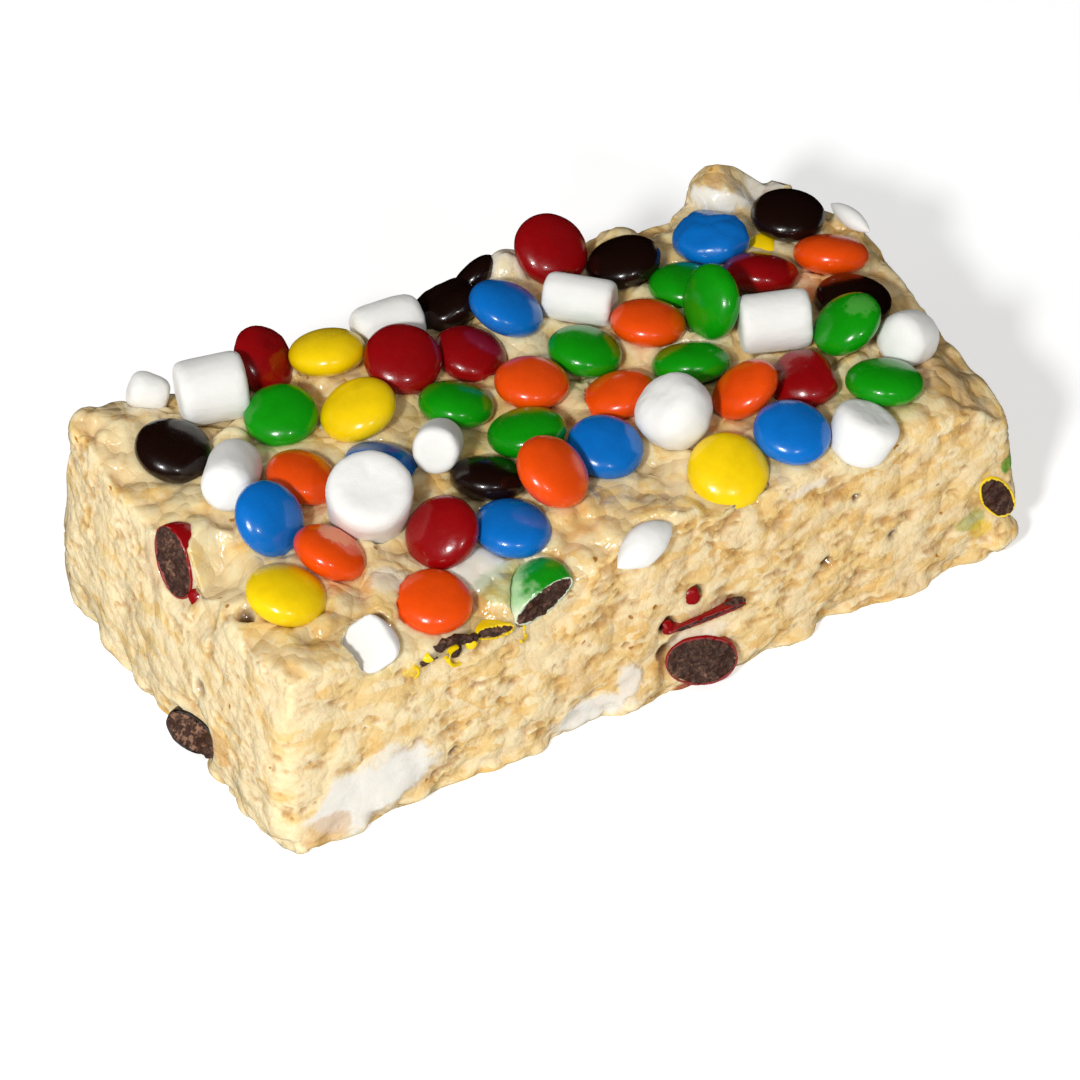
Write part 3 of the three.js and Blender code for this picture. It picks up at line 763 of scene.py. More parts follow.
def crisp_finish():
    """Crisped rice in melted marshmallow: cream to golden crumbs, white melted patches and a sticky gloss on
    the top,
    with painted shade: amber in the hollows and dark in the gaps and air holes."""
    finish = Finish(
        "crisped rice", Subsurface_Weight=0.6, Subsurface_Scale=3 * MM, Coat_IOR=1.65,
        Subsurface_Radius=(1.0, 0.88, 0.65), Coat_Roughness=0.08, IOR=1.45,
    )
    tree = finish.nodes
    crisp = settings().crisp
    tone, gap, glaze, melted, milk, low, hole = (
        finish.attribute(name) for name in ("tone", "gap", "glaze", "melted", "milk", "low", "hole")
    )
    fine = finish.grain(0.8 * MM, 1.6)
    speckle = finish.grain(2.6 * MM, 2.0)
    stray = tree.vector("SUBTRACT", tree.noise(finish.place, 600.0, 3.0)["Color"], (0.5, 0.5, 0.5))
    bent = tree.vector("ADD", finish.place, tree.scaled(stray, 2 * MM))
    flat_place = tree.vector("DIVIDE", bent, FLAKE)
    chance = tree.split(tree.cells(flat_place).outputs["Color"])
    skin = tree.span(tree.cells(flat_place, "DISTANCE_TO_EDGE").outputs["Distance"], 0.22, 0.0)
    skin = tree.times(skin, tree.span(speckle["Tone"], 0.35, 0.75))
    crumbs = tree.cells(tree.scaled(bent, 1 / GRIT))

    # Toasted here and there and along the thin skins between the crisps.
    toast = tree.times_plus(tone, 0.3, tree.times(speckle["Tone"], 0.4))
    toast = tree.times_plus(tree.span(chance[0], 0.5, 0.9), 0.4, toast)
    toast = tree.times_plus(skin, 0.35, toast)
    colour = tree.blend(tree.span(toast, 0.35, 1.3), solid(crisp.cream), solid(crisp.golden))
    pale = tree.times(tree.span(chance[1], 0.55, 0.8), 0.8)
    colour = tree.blend(pale, colour, solid(crisp.milky))
    # This mask holds the smears of marshmallow, a paler left end that is painted light, and paler lump crowns
    # on the top that are a marshmallow coat and painted sheen.
    colour = tree.blend(tree.times(milk, 0.85), colour, solid(crisp.milky))
    # Painted shade: the low places of the relief and the creases between the beads on the top are painted
    # amber.
    hollow_shade_amber = tree.blend(0.5, solid(crisp.golden), solid(crisp.toasted))
    beads = tree.cells(tree.vector("DIVIDE", finish.place, (crisp.bead,) * 3)).outputs["Distance"]
    beads = tree.times(beads, beads)
    between = tree.times(tree.span(beads, 0.1, 0.4), glaze)
    hollow_shade = tree.most(tree.times(low, 0.35), tree.times(between, 0.2))
    colour = tree.blend(hollow_shade, colour, hollow_shade_amber)
    spots = tree.times(tree.span(fine["Tone"], 0.58, 0.78), tree.span(speckle["Tone"], 0.5, 0.85))
    colour = tree.blend(tree.times(spots, 0.6), colour, solid(crisp.toasted))
    tint = tree.blend(1.0, colour, solid(crisp.syrup), "MULTIPLY")
    colour = tree.blend(tree.times(glaze, 0.65), colour, tint)
    # Painted shade: a few small dark dots stand for tiny air holes.
    hole_shade_cells = tree.cells(tree.scaled(bent, 1 / HOLE_SHADE_SPACING))
    few = tree.span(tree.split(hole_shade_cells.outputs["Color"])[0], 0.7, 0.75)
    dot = tree.times(tree.span(hole_shade_cells.outputs["Distance"], 0.13, 0.07), few)
    # Painted shade: the deep gaps between the crisps are painted the crevice colour.
    colour = tree.blend(tree.most(dot, tree.times(gap, 0.5)), colour, solid(crisp.crevice))
    colour = tree.blend(melted, colour, solid(crisp.melted))
    for name in ("green", "yellow", "red", "chocolate"):
        stain = finish.attribute(name + " stain")
        colour = tree.blend(stain, colour, solid(getattr(settings().candy, name)))
    colour = tree.blend(finish.attribute("toasted stain"), colour, solid(crisp.toasted))
    # Painted shade: the air holes are painted dark inside.
    finish.feed("Base Color", tree.blend(tree.times(hole, 0.95), colour, solid(crisp.hole)))

    wet = tree.most(glaze, tree.span(speckle["Tone"], 0.45, 0.7))
    rough = tree.span(wet, 0.0, 1.0, 0.5, 0.18)
    finish.feed("Roughness", tree.times_plus(tree.minus(fine["Tone"], 0.5), 0.3, rough))
    finish.feed("Coat Weight", tree.times_plus(wet, 0.75, 0.2))
    pressed = tree.times(crumbs.outputs["Distance"], crumbs.outputs["Distance"])
    gritty = tree.times_plus(pressed, -0.6, tree.times(fine["Height"], 0.4))
    gritty = tree.times_plus(skin, -0.14, gritty)
    gritty = tree.times(gritty, tree.span(glaze, 0.0, 1.0, 1.0, 0.25))
    height = tree.times_plus(tree.times(beads, glaze), -1.6, gritty)
    height = tree.times(height, tree.span(melted, 0.0, 1.0, 1.0, 0.2))
    finish.feed("Normal", finish.bump(height, MM, 0.8))
    return finish.material


# ---- The toppings ----


def lying_nodes(prefix):
    return sorted(name for name in frame["nodes"] if name.startswith(prefix))


# Shells with a pale rubbed patch: where it is from the candy's middle and its radius, in
# millimetres, its colour and its strength.
SCUFFS = {
    "candy-24-orange": ((2.2, 1.2, 3.0), 3.4, linear(250, 160, 110), 0.75),
    "candy-37-green": ((2.0, -1.0, 3.2), 2.8, linear(90, 170, 70), 0.55),
    "candy-40-green": ((1.0, 2.0, 2.8), 2.6, linear(90, 170, 70), 0.5),
}


# Candies that are pulled out of shape: by how many millimetres.
DENTED = {"candy-29-blue": 1.5, "candy-08-brown": 1.3, "candy-02-red": 1.0, "candy-38-red": 1.0}


class TREAT_OT_candies(bpy.types.Operator):
    """Make the whole sugar-shelled candies"""

    bl_idname = "treat.candies"
    bl_label = "Candies"

    def execute(self, context):
        candy = settings().candy
        lens = blank("candy lens", candy.squareness)
        shells = {name: shell_finish(name + " sugar shell", name) for name in COLOURS}
        for name in lying_nodes("candy-"):
            seat = Seat(name)
            piece = copy_of(lens, name + "-shell")
            pressed = seat.pressed()
            if pressed:
                press_side(piece, *pressed)
            piece.data.transform(seat.matrix())
            displace(piece, "uneven shell", 7.5 * MM, candy.dent)
            if name in DENTED:
                displace(piece, "dents", 5 * MM, DENTED[name] * MM)
            colour = name.rsplit("-", 1)[1]
            shell = shells[colour]
            if name in SCUFFS:
                offset, radius, pale, amount = SCUFFS[name]
                scuff = (seat.centre + metres(offset), radius * MM, pale, amount)
                shell = shell_finish(f"{name} scuffed shell", colour, scuff)
            finished(piece, [shell], [name])
        bpy.data.objects.remove(lens)
        return {"FINISHED"}


# How each marshmallow is shaped: how square its outline is (nothing for pointed ends), and how deep
# a dimple its upper end has, as a share of its half length, and how much it slumps.
MARSHMALLOW_FORMS = {
    "marshmallow-01": (3.2, 0, 1),
    "marshmallow-02": (7.0, 0, 1),
    "marshmallow-03": (4.6, 0.06, 1),
    "marshmallow-04": (4.5, 0, 1),
    "marshmallow-05": (4.8, 0.12, 1),
    "marshmallow-06": (6.0, 0.05, 1),
    "marshmallow-07": (6.5, 0.08, 1),
    "marshmallow-08": (2.5, 0, 2.6),
    "marshmallow-09": (8.0, 0.05, 1),
    "marshmallow-10": (3.2, 0, 1.4),
    "marshmallow-11": (3.6, 0, 1.6),
    "marshmallow-12": (None, 0, 2),
    "marshmallow-13": (5.0, 0, 1),
}

# Marshmallows that show an end: the lean and compass direction of the axis.
MARSHMALLOW_TURNS = {"marshmallow-05": (22, -112)}

# Marshmallows with a knife cut: how far the cut lies from the middle, in millimetres, and the
# compass direction and height that its face looks toward.
MARSHMALLOW_CUTS = {"marshmallow-13": (0.5, -140, 50)}


# The segments and rings of a marshmallow and how wide its dimple is, and the pitch and softening of
# the mesh of a cut one.
MARSHMALLOW_GRID = (56, 40)
DIMPLE_WIDTH = 0.3
CUT_PITCH = 0.35 * MM
CUT_SOFTENING = 10


class TREAT_OT_marshmallows(bpy.types.Operator):
    """Make the small marshmallows"""

    bl_idname = "treat.marshmallows"
    bl_label = "Marshmallows"

    def execute(self, context):
        marshmallow = settings().marshmallow
        skin = marshmallow_finish()
        for name in lying_nodes("marshmallow-"):
            seat = Seat(name)
            if name in MARSHMALLOW_TURNS:
                seat.turn_to(*MARSHMALLOW_TURNS[name])
            squareness, dimple, slump = MARSHMALLOW_FORMS[name]
            piece = blank(name + "-skin", squareness, *MARSHMALLOW_GRID)
            for vertex in piece.data.vertices:
                x, y, z = vertex.co
                wide = 1 + seat.taper * z
                hollow = dimple * math.exp(-(x * x + y * y) / DIMPLE_WIDTH) if z > 0 else 0
                vertex.co = (x * wide, y * wide, z - hollow)
            piece.data.transform(seat.matrix())
            displace(piece, "slump", 8 * MM, marshmallow.slump * slump)
            displace(piece, "wrinkles", 1.7 * MM, marshmallow.wrinkle)
            if name in MARSHMALLOW_CUTS:
                offset, *facing = MARSHMALLOW_CUTS[name]
                outward = compass(*facing)
                trim(piece, seat.centre + outward * offset * MM, outward)
                bpy.ops.object.mode_set(mode="OBJECT")
                even_mesh(piece, CUT_PITCH, CUT_SOFTENING)
            finished(piece, [skin], [name])
        return {"FINISHED"}


# Candies that the knife went through, in millimetres. The name, the solid that each replaces, the
# shell's colour; the middle, lean and compass direction of the disc, its radius and half thickness;
# the compass direction and height that the cut face looks toward, and the face's distance from the
# middle.
CUT_CANDIES = (
    ("cut-red-end", "cut-candy-red-end", "red", (-69.7, 0.7, 33.4), 50, -90, 6.5, 3.25, (-160, 20), 1.2),
    ("cut-brown-end", "cut-candy-brown-end", "brown", (-73.5, -9.6, 4.7), 18, -90, 4.9, 2.6, (-145, 28), 1.2),
    ("cut-green", "cut-candy-green-front", "green", (-20.73, -34.01, 32.4), 28, 180, 6.4, 2.9, (-90, 0), 2.5),
    ("cut-red-front", "cut-candy-red-front", "red", (9.3, -37.3, 6.2), 24, -80, 6.6, 3.4, (-100, 24), 1.0),
    ("cut-yellow", None, "yellow", (70.6, -33.9, 14.3), 58, -25, 5.0, 2.7, (-95, 12), 1.6),
    ("sliver-red", None, "red", (9.8, -35.9, 15.9), 4, 90, 8.0, 0.66, (-90, 5), 2.8),
    ("crushed-yellow", None, "yellow", (-30.4, -36.9, 30.4), 6, 0, 3.6, 0.9, (-90, 40), 0.2),
)

# Bits of broken shell, in millimetres: the name and colour; the middle, lean and compass direction
# of the lens they broke from, its radius and half thickness; the slice of it that is kept, from and
# to a share of its height and from and to a share of its width.
SHELL_BITS = (
    ("curl-ring", "yellow", (-38.3, -37.9, 29.4), 75, -80, 1.9, 1.9, (-0.45, 0.45), (-1, 0.35)),
    ("curl-tooth", "yellow", (-35.2, -37.3, 30.6), 40, -120, 1.3, 0.9, (0.1, 1), (-0.7, 1)),
    ("curl-right", "yellow", (-25.6, -37.3, 28.2), 70, -40, 1.9, 0.9, (-0.2, 0.4), (-0.3, 1)),
    ("curl-left", "yellow", (-46.2, -38.0, 29.4), 60, -100, 1.2, 0.8, (0.0, 0.7), (0.1, 1)),
    ("curl-top", "yellow", (-43.3, -37.4, 31.2), 35, -100, 1.2, 0.7, (0.2, 1), (-1, 0.4)),
    ("spot-upper", "red", (7.7, -36.7, 20.8), 70, -100, 1.7, 0.9, (0.0, 1), (-0.8, 0.8)),
    ("spot-lower", "red", (2.5, -37.5, 16.4), 60, -80, 1.3, 0.8, (0.0, 1), (-0.9, 0.7)),
    ("flake-end", "red", (-69.8, -5.6, 30.3), 60, -140, 1.5, 0.8, (-0.1, 1), (-0.8, 0.8)),
)

# Crumbs of chocolate smeared by the knife, in millimetres: the name, middle and half sizes.
CRUMBS = (
    ("crumb-ring", (-38.1, -37.3, 29.8), (1.3, 0.9, 1.2)),
    ("crumb-middle", (-39.0, -36.9, 31.8), (3.4, 0.9, 0.9)),
    ("crumb-left", (-43.6, -37.5, 30.1), (2.2, 0.6, 0.7)),
    ("crumb-join", (-35.2, -37.0, 31.0), (1.8, 0.8, 0.8)),
    ("crumb-sliver", (15.6, -37.9, 16.3), (1.9, 0.9, 0.9)),
    ("crumb-tail", (-73.4, -15.2, 5.3), (1.6, 2.3, 1.9)),
)


# How a cut candy breaks: how deep its hollow rim goes and how far the rim strays, the pitch of its
# chocolate's mesh, the depth to which the chocolate is rough, and the thickness of a broken bit.
RIM_DEPTH = 1.1 * MM
RIM_STRAY = 0.22 * MM
CORE_PITCH = 0.26 * MM
ROUGH_DEPTH = 0.8 * MM
BIT_THICKNESS = 0.4 * MM

# The segments and rings of the lens that a broken bit is sliced from, and how its two ends slant.
BIT_GRID = (32, 16)
BIT_SLANTS = ((-1, 0.3, 0), (1, 0.2, 0.2))

# A face with more sides than this is a cut and no part of a lens.
LENS_SIDES = 8


def cut_lens(name, place, size, point, outward):
    """A lens at its place, cut by the knife, its flat face left selected in edit mode."""
    piece = blank(name, settings().candy.squareness)
    piece.data.transform(place @ Matrix.Diagonal((*size, 1)))
    trim(piece, point, outward)
    select_faces(piece, lambda face: len(face.verts) > LENS_SIDES)
    return piece


def cut_shell(name, place, size, point, outward):
    """The hollow shell of a cut candy. Its broken rim takes the second material."""
    shell = cut_lens(name, place, size, point, outward)
    bpy.ops.mesh.inset(thickness=settings().candy.shell, use_even_offset=True)
    bpy.ops.transform.vertex_random(offset=RIM_STRAY, seed=len(name))
    bpy.ops.mesh.extrude_region_move(TRANSFORM_OT_translate={"value": -outward * RIM_DEPTH})
    bpy.ops.object.mode_set(mode="OBJECT")
    inside = place.inverted()
    for polygon in shell.data.polygons:
        depth = (point - polygon.center).dot(outward)
        middle = inside @ polygon.center
        facing_in = (inside.to_3x3() @ polygon.normal).dot(middle) < 0
        flat = polygon.normal.dot(outward) > 0.95
        polygon.material_index = int((flat or facing_in) and depth < 1.1 * RIM_DEPTH)
    displace(shell, "broken rim", 1.2 * MM, 0.16 * MM)
    return shell


def cut_core(name, place, size, point, outward):
    """The chocolate of a cut candy, rough where the knife broke it."""
    core = cut_lens(name, place, size, point, outward)
    bpy.ops.object.mode_set(mode="OBJECT")
    even_mesh(core, CORE_PITCH)
    face = core.vertex_groups.new(name="face")
    for vertex in core.data.vertices:
        depth = (point - vertex.co).dot(outward)
        face.add([vertex.index], max(0, 1 - depth / ROUGH_DEPTH), "REPLACE")
    displace(core, "broken", 1.8 * MM, MM, "face")
    displace(core, "crumbled", 0.6 * MM, 0.6 * MM, "face")
    return core


def crumb(name, middle, half):
    """A rough crumb of chocolate."""
    deselect()
    bpy.ops.mesh.primitive_ico_sphere_add(subdivisions=4, radius=1)
    piece = bpy.context.object
    piece.name = name
    piece.data.transform(Matrix.Translation(metres(middle)) @ Matrix.Diagonal((*metres(half), 1)))
    displace(piece, "broken", 1.4 * MM, 1.4 * MM)
    displace(piece, "crumbled", 0.5 * MM, 0.6 * MM)
    return piece


def shell_bit(name, place, size, heights, widths):
    """A curved splinter sliced from the surface of a lens."""
    piece = blank(name, settings().candy.squareness, *BIT_GRID)
    for height, way in zip(heights, (-1, 1)):
        trim(piece, (0, 0, height), (0, 0, way), fill=False)
    for width, slant in zip(widths, BIT_SLANTS):
        trim(piece, (width, 0, 0), slant, fill=False)
    bpy.ops.object.mode_set(mode="OBJECT")
    piece.data.transform(place @ Matrix.Diagonal((*size, 1)))
    thick = piece.modifiers.new("thickness", "SOLIDIFY")
    thick.thickness = BIT_THICKNESS
    apply_modifiers(piece)
    displace(piece, "bent", 2 * MM, 0.6 * MM)
    return piece


class TREAT_OT_cut_candies(bpy.types.Operator):
    """Make the candies that the knife went through and the bits that broke off them"""

    bl_idname = "treat.cut_candies"
    bl_label = "Cut candies"

    def execute(self, context):
        candy = settings().candy
        shells = {name: bpy.data.materials[name + " sugar shell"] for name in COLOURS}
        shells["cut-green"] = melting_finish(
            "melting green shell", "green", (-17.6 * MM, -33.5 * MM, 34.5 * MM), (6 * MM, 5 * MM, 4.6 * MM)
        )
        rims = {
            name: rim_finish(name + " broken shell", getattr(candy, name), tint)
            for name, tint in (("red", 0.96), ("brown", 0.97), ("green", 0.35), ("yellow", 0.97))
        }
        chocolate = chocolate_finish("broken chocolate", 0.15)
        bloomed = chocolate_finish("bloomed chocolate", 0.75)

        for name, node, colour, centre, lean, toward, radius, half, facing, offset in CUT_CANDIES:
            place = placed(centre, lean, toward)
            outward = compass(*facing)
            point = place.translation + outward * offset * MM
            size = metres((radius, radius, half))
            shell = cut_shell(name + "-shell", place, size, point, outward)
            materials = [shells.get(name, shells[colour]), rims[colour]]
            finished(shell, materials, [node] if node else ())
            less = size - Vector((1, 1, 1)) * candy.shell * 0.85
            core = cut_core(name + "-chocolate", place, less, point + outward * 0.05 * MM, outward)
            finished(core, [bloomed if colour == "brown" else chocolate])

        for name, colour, centre, lean, toward, radius, half, heights, widths in SHELL_BITS:
            place = placed(centre, lean, toward)
            bit = shell_bit(name + "-shell", place, metres((radius, radius, half)), heights, widths)
            finished(bit, [shells[colour]], angle=50)
        for name, middle, half in CRUMBS:
            finished(crumb(name + "-chocolate", middle, half), [chocolate])
        return {"FINISHED"}


# Whole pieces that others nearly hide, in millimetres: the name, slot, material, middle, lean and
# compass direction of the axis, the radius and half length, and the squareness of the outline.
HIDDEN = (
    ("hidden-yellow", "candy_yellow", "yellow sugar shell", (54.9, 20.6, 36.2), 20, -120, 2.8, 1.8, 2.15),
    ("hidden-brown", "candy_brown", "brown sugar shell", (6.0, 37.0, 37.3), 55, 120, 5.0, 2.5, 2.15),
    ("slice", "marshmallow", "dusted marshmallow", (72.1, 18.8, 37.6), 88, -81, 1.7, 5.4, None),
)

# The segments and rings of such a piece.
HIDDEN_GRID = (32, 20)


class TREAT_OT_hidden_pieces(bpy.types.Operator):
    """Make the candies that others nearly hide and the slice of marshmallow at the edge"""

    bl_idname = "treat.hidden_pieces"
    bl_label = "Hidden pieces"

    def execute(self, context):
        for name, slot, material, centre, lean, toward, radius, half, squareness in HIDDEN:
            piece = blank(name + "-piece", squareness, *HIDDEN_GRID)
            size = Matrix.Diagonal((radius * MM, radius * MM, half * MM, 1))
            piece.data.transform(placed(centre, lean, toward) @ size)
            displace(piece, "uneven", 6 * MM, 0.3 * MM)
            finished(piece, [bpy.data.materials[material]])
        return {"FINISHED"}


# ---- The crisp mass ----


# The relief of the crisp mass: how far it rises against a topping, how deep its air holes are, how
# far its lower edge strays and how near the underside or how deep in a topping it can't be seen.
LIFT = 0.2 * MM
HOLE_DEPTH = 2.4 * MM
FRINGE = 3.2 * MM
UNDERSIDE = 0.2 * MM
BURIED = 0.7 * MM

# How often the mesh of the mass is softened, and the share of its faces that is kept where it
# can't be seen.
MASS_SOFTENING = 20
HIDDEN_SHARE = 0.12

# How far the knife's flat lies below a cut candy and reaches past it, in millimetres.
KNIFE_DEPTH = 0.35
KNIFE_REACH = 1.5


def relief_tree(toppings):
    """Geometry nodes that press kernels, gaps, lumps and melted patches into the block, and keep
    their places as attributes for the finish."""
    crisp = settings().crisp
    tree, given, out = new_group(
        "Crisp relief", "GeometryNodeTree", [("Geometry", "Geometry")], [("Geometry", "Geometry")]
    )
    position = tree.add("GeometryNodeInputPosition").outputs[0]
    normal = tree.add("GeometryNodeInputNormal").outputs[0]
    upward = tree.split(normal)[2]
    stray = tree.cloud(position, 1 / (6 * MM), 2.0)
    leaning = tree.times_plus(tree.minus(stray, 0.5), 0.7, upward)
    under = tree.span(upward, -0.8, -0.98)
    side = tree.times(tree.span(leaning, 0.85, 0.5), tree.minus(1.0, under))
    top = tree.minus(tree.minus(1.0, side), under, clamp=True)

    def centred(value, amount):
        return tree.times(tree.minus(value, 0.5), amount)

    def total(*values):
        sum_so_far = values[0]
        for value in values[1:]:
            sum_so_far = tree.plus(sum_so_far, value)
        return sum_so_far

    # Nearness to a topping.
    pieces = tree.add("GeometryNodeCollectionInfo", {"Collection": toppings}).outputs[0]
    surface = tree.add("GeometryNodeRealizeInstances", {0: pieces}).outputs[0]
    near = tree.add("GeometryNodeProximity", {0: surface}, target_element="FACES").outputs["Distance"]
    touching = tree.span(near, 0.9 * MM, 0.2 * MM)
    free = tree.span(near, 0.3 * MM, 1.3 * MM)

    def pillow(distance):
        """A rounded top with a crease at its edge, from the distance to its middle."""
        return tree.times_plus(tree.times(distance, distance), -1.3, 0.35)

    # Crisps in the cut faces are pressed into layers. Some are cut open and show their hollows.
    swirl = tree.noise(position, 1 / (13 * MM), 2.0)["Color"]
    warp = tree.scaled(tree.vector("SUBTRACT", swirl, (0.5, 0.5, 0.5)), 3 * MM)
    bent = tree.vector("ADD", position, warp)
    kernels = tree.cells(tree.vector("DIVIDE", bent, (crisp.kernel, crisp.kernel, crisp.layer)))
    chance = tree.split(kernels.outputs["Color"])
    away = kernels.outputs["Distance"]
    opened = tree.span(chance[1], 0.62, 0.66)
    whole = tree.times(pillow(away), tree.minus(1.0, opened))
    hollow = tree.times(pillow(away), tree.times(opened, -1.0))
    crumbs = tree.cells(tree.vector("DIVIDE", bent, (crisp.crumb, crisp.crumb, 0.75 * crisp.crumb)))
    grit = tree.times(pillow(crumbs.outputs["Distance"]), 0.5)
    fine = tree.cloud(position, 1 / (1.5 * MM), 3.0)
    uneven = centred(stray, 3.4)
    clumps = tree.cells(tree.vector("DIVIDE", bent, (crisp.lump,) * 3), "SMOOTH_F1", smoothness=0.05)
    clump = pillow(clumps.outputs["Distance"])
    rise = centred(chance[0], 0.6)
    cut = total(whole, hollow, rise, grit, centred(fine, 0.8), uneven, tree.times(clump, 0.7))

    # Short sharp crevices between the layers.
    strata = tree.cloud(tree.vector("DIVIDE", bent, (8 * MM, 8 * MM, 2 * MM)), 1.0, 2.0)
    line = tree.span(tree.math("ABSOLUTE", tree.minus(strata, 0.5)), 0.03, 0.008)
    broken = tree.span(tree.cloud(position, 1 / (8 * MM), 1.0), 0.5, 0.6)
    crevice = tree.times(line, broken)

    # Soft smears of marshmallow level the crumbs. Toward the left end there are more of them: painted light
    # on the end face, which the key light falls on.
    smear = tree.cloud(tree.vector("DIVIDE", bent, (7 * MM, 7 * MM, 4 * MM)), 1.0, 3.0)
    painted_lit_end = tree.span(tree.split(position)[0], -55 * MM, -72 * MM, 0.0, 0.09)
    milk = tree.span(tree.plus(smear, painted_lit_end), 0.47, 0.6)
    cut = tree.times(cut, tree.times_plus(milk, -0.55, 1.0))
    cut = tree.times_plus(crevice, -0.6, cut)

    # Coated crisps on the top are round lumps, with small ones between them.
    wavy = tree.vector("ADD", position, tree.scaled(warp, 0.25))
    lumps = tree.cells(tree.vector("DIVIDE", wavy, (crisp.lump,) * 3), "SMOOTH_F1", smoothness=0.05)
    small = tree.cells(tree.scaled(wavy, 1 / (3.2 * MM)), "SMOOTH_F1", smoothness=0.05)
    dome = pillow(lumps.outputs["Distance"])
    bead = tree.times(pillow(small.outputs["Distance"]), 0.3)
    crust = total(dome, bead)

    cut_height = tree.times(tree.times(cut, crisp.side_depth), side)
    top_height = tree.times(tree.times(crust, crisp.top_depth), top)
    height = tree.plus(cut_height, top_height)

    # Patches of melted marshmallow lie smooth.
    wander = centred(tree.cloud(position, 1 / (2.8 * MM), 4.0), 1.1)

    def patch(middle, half, soft=0.0):
        off = tree.vector("SUBTRACT", position, metres(middle))
        share = tree.vector("LENGTH", tree.vector("DIVIDE", off, metres(half)))
        return tree.span(tree.plus(share, wander), 1.03 + soft, 0.88 - soft)

    melted = 0.0
    for middle, half, strength in MELTED:
        melted = tree.most(tree.times(patch(middle, half, 0.12), strength), melted)
    stains = {}
    for name, middle, half, strength in STAINS:
        mask = tree.times(patch(middle, half), strength)
        stains[name] = tree.most(mask, stains.get(name, 0.0))
    holes = 0.0
    for middle, radius in HOLES:
        off = tree.vector("DISTANCE", position, metres(middle))
        holes = tree.most(tree.span(off, 1.4 * radius * MM, 0.7 * radius * MM), holes)

    swell = centred(tree.cloud(position, 1 / (6 * MM), 1.0), 1.8 * MM)
    height = tree.add("ShaderNodeMix", {0: melted, 2: height, 3: swell}).outputs[0]
    raised = tree.times(tree.most(height, 0.0), free)
    height = tree.plus(raised, tree.least(height, 0.0))
    height = tree.times_plus(touching, LIFT, height)
    height = tree.times_plus(holes, -HOLE_DEPTH, height)
    place = tree.vector("ADD", position, tree.scaled(normal, height))
    # The lower edge is ragged.
    level = tree.vector("MULTIPLY", normal, (1.0, 1.0, 0.0))
    fringe = tree.times(clump, tree.span(tree.split(position)[2], 5 * MM, 1 * MM, 0.0, FRINGE))
    place = tree.vector("ADD", place, tree.scaled(level, fringe))

    # The knife left the mass level with the candies that it cut.
    levels = [
        (Vector(centre) + compass(*facing) * (offset - KNIFE_DEPTH), radius + KNIFE_REACH, facing)
        for _, _, _, centre, _, _, radius, _, facing, offset in CUT_CANDIES
    ]
    for point, reach, facing in (*FLATS, *levels):
        outward = compass(*facing)
        from_point = tree.vector("SUBTRACT", place, metres(point))
        proud = tree.vector("DOT_PRODUCT", from_point, outward)
        beside = tree.vector("LENGTH", tree.vector("SUBTRACT", from_point, tree.scaled(outward, proud)))
        ragged = tree.times_plus(wander, 0.8 * MM, beside)
        share = tree.span(ragged, (reach + 1.2) * MM, (reach - 1.5) * MM)
        back = tree.times(tree.most(proud, 0.0), share)
        place = tree.vector("SUBTRACT", place, tree.scaled(outward, back))
    low, high = (Vector(corner) for corner in CAD_BOX)
    place = tree.vector("MINIMUM", tree.vector("MAXIMUM", place, low), high)

    # How far inside a topping the surface ends up.
    touched = tree.add(
        "GeometryNodeProximity", {0: surface, "Sample Position": place}, target_element="FACES"
    )
    skin = tree.add(
        "GeometryNodeSampleNearestSurface", {"Mesh": surface, "Value": normal, "Sample Position": place},
        data_type="FLOAT_VECTOR",
    )
    inward = tree.vector("SUBTRACT", touched.outputs["Position"], place)
    buried = tree.vector("DOT_PRODUCT", inward, skin.outputs["Value"])

    # Painted shade: the deepest places of the relief are kept as a mask that the finish paints dark.
    deep_shade = tree.times(tree.span(cut, -0.3, -1.0), side)
    deep_shade_top = tree.times(tree.span(crust, 0.1, -0.3), top)
    # Painted shade: the low places of the relief are kept as a mask that the finish paints amber.
    hollow_shade_side = tree.times(tree.span(cut, 0.05, -0.7), side)
    hollow_shade_top = tree.times(tree.span(crust, -0.05, -0.6), top)
    near_topping = tree.span(near, 3 * MM, 1 * MM)
    # The crowns of the lumps on the top are painted paler: a marshmallow coat and painted sheen.
    top_milk_and_sheen = tree.times(tree.span(crust, 0.0, 0.35), tree.times(top, 0.75))
    kept = {
        "tone": chance[2],
        "low": tree.plus(hollow_shade_side, hollow_shade_top),
        "gap": tree.most(tree.most(deep_shade, tree.times(deep_shade_top, 0.2)), holes),
        "glaze": tree.most(top, tree.times(near_topping, 0.7)),
        "milk": tree.most(milk, top_milk_and_sheen),
        "melted": melted,
        "hole": holes,
        "buried": buried,
        **{f"{name} stain": mask for name, mask in stains.items()},
    }
    # The masks are read where the points were, so they are stored before the points move.
    geometry = tree.add(
        "GeometryNodeStoreNamedAttribute", {"Geometry": given[0], "Name": "place", "Value": place},
        data_type="FLOAT_VECTOR",
    ).outputs[0]
    for name, value in kept.items():
        inputs = {"Geometry": geometry, "Name": name, "Value": value}
        geometry = tree.add("GeometryNodeStoreNamedAttribute", inputs, data_type="FLOAT").outputs[0]
    stored = tree.add("GeometryNodeInputNamedAttribute", {"Name": "place"}, data_type="FLOAT_VECTOR")
    moved = {"Geometry": geometry, "Position": stored.outputs[0]}
    tree.tree.links.new(tree.add("GeometryNodeSetPosition", moved).outputs[0], out[0])
    return tree.tree


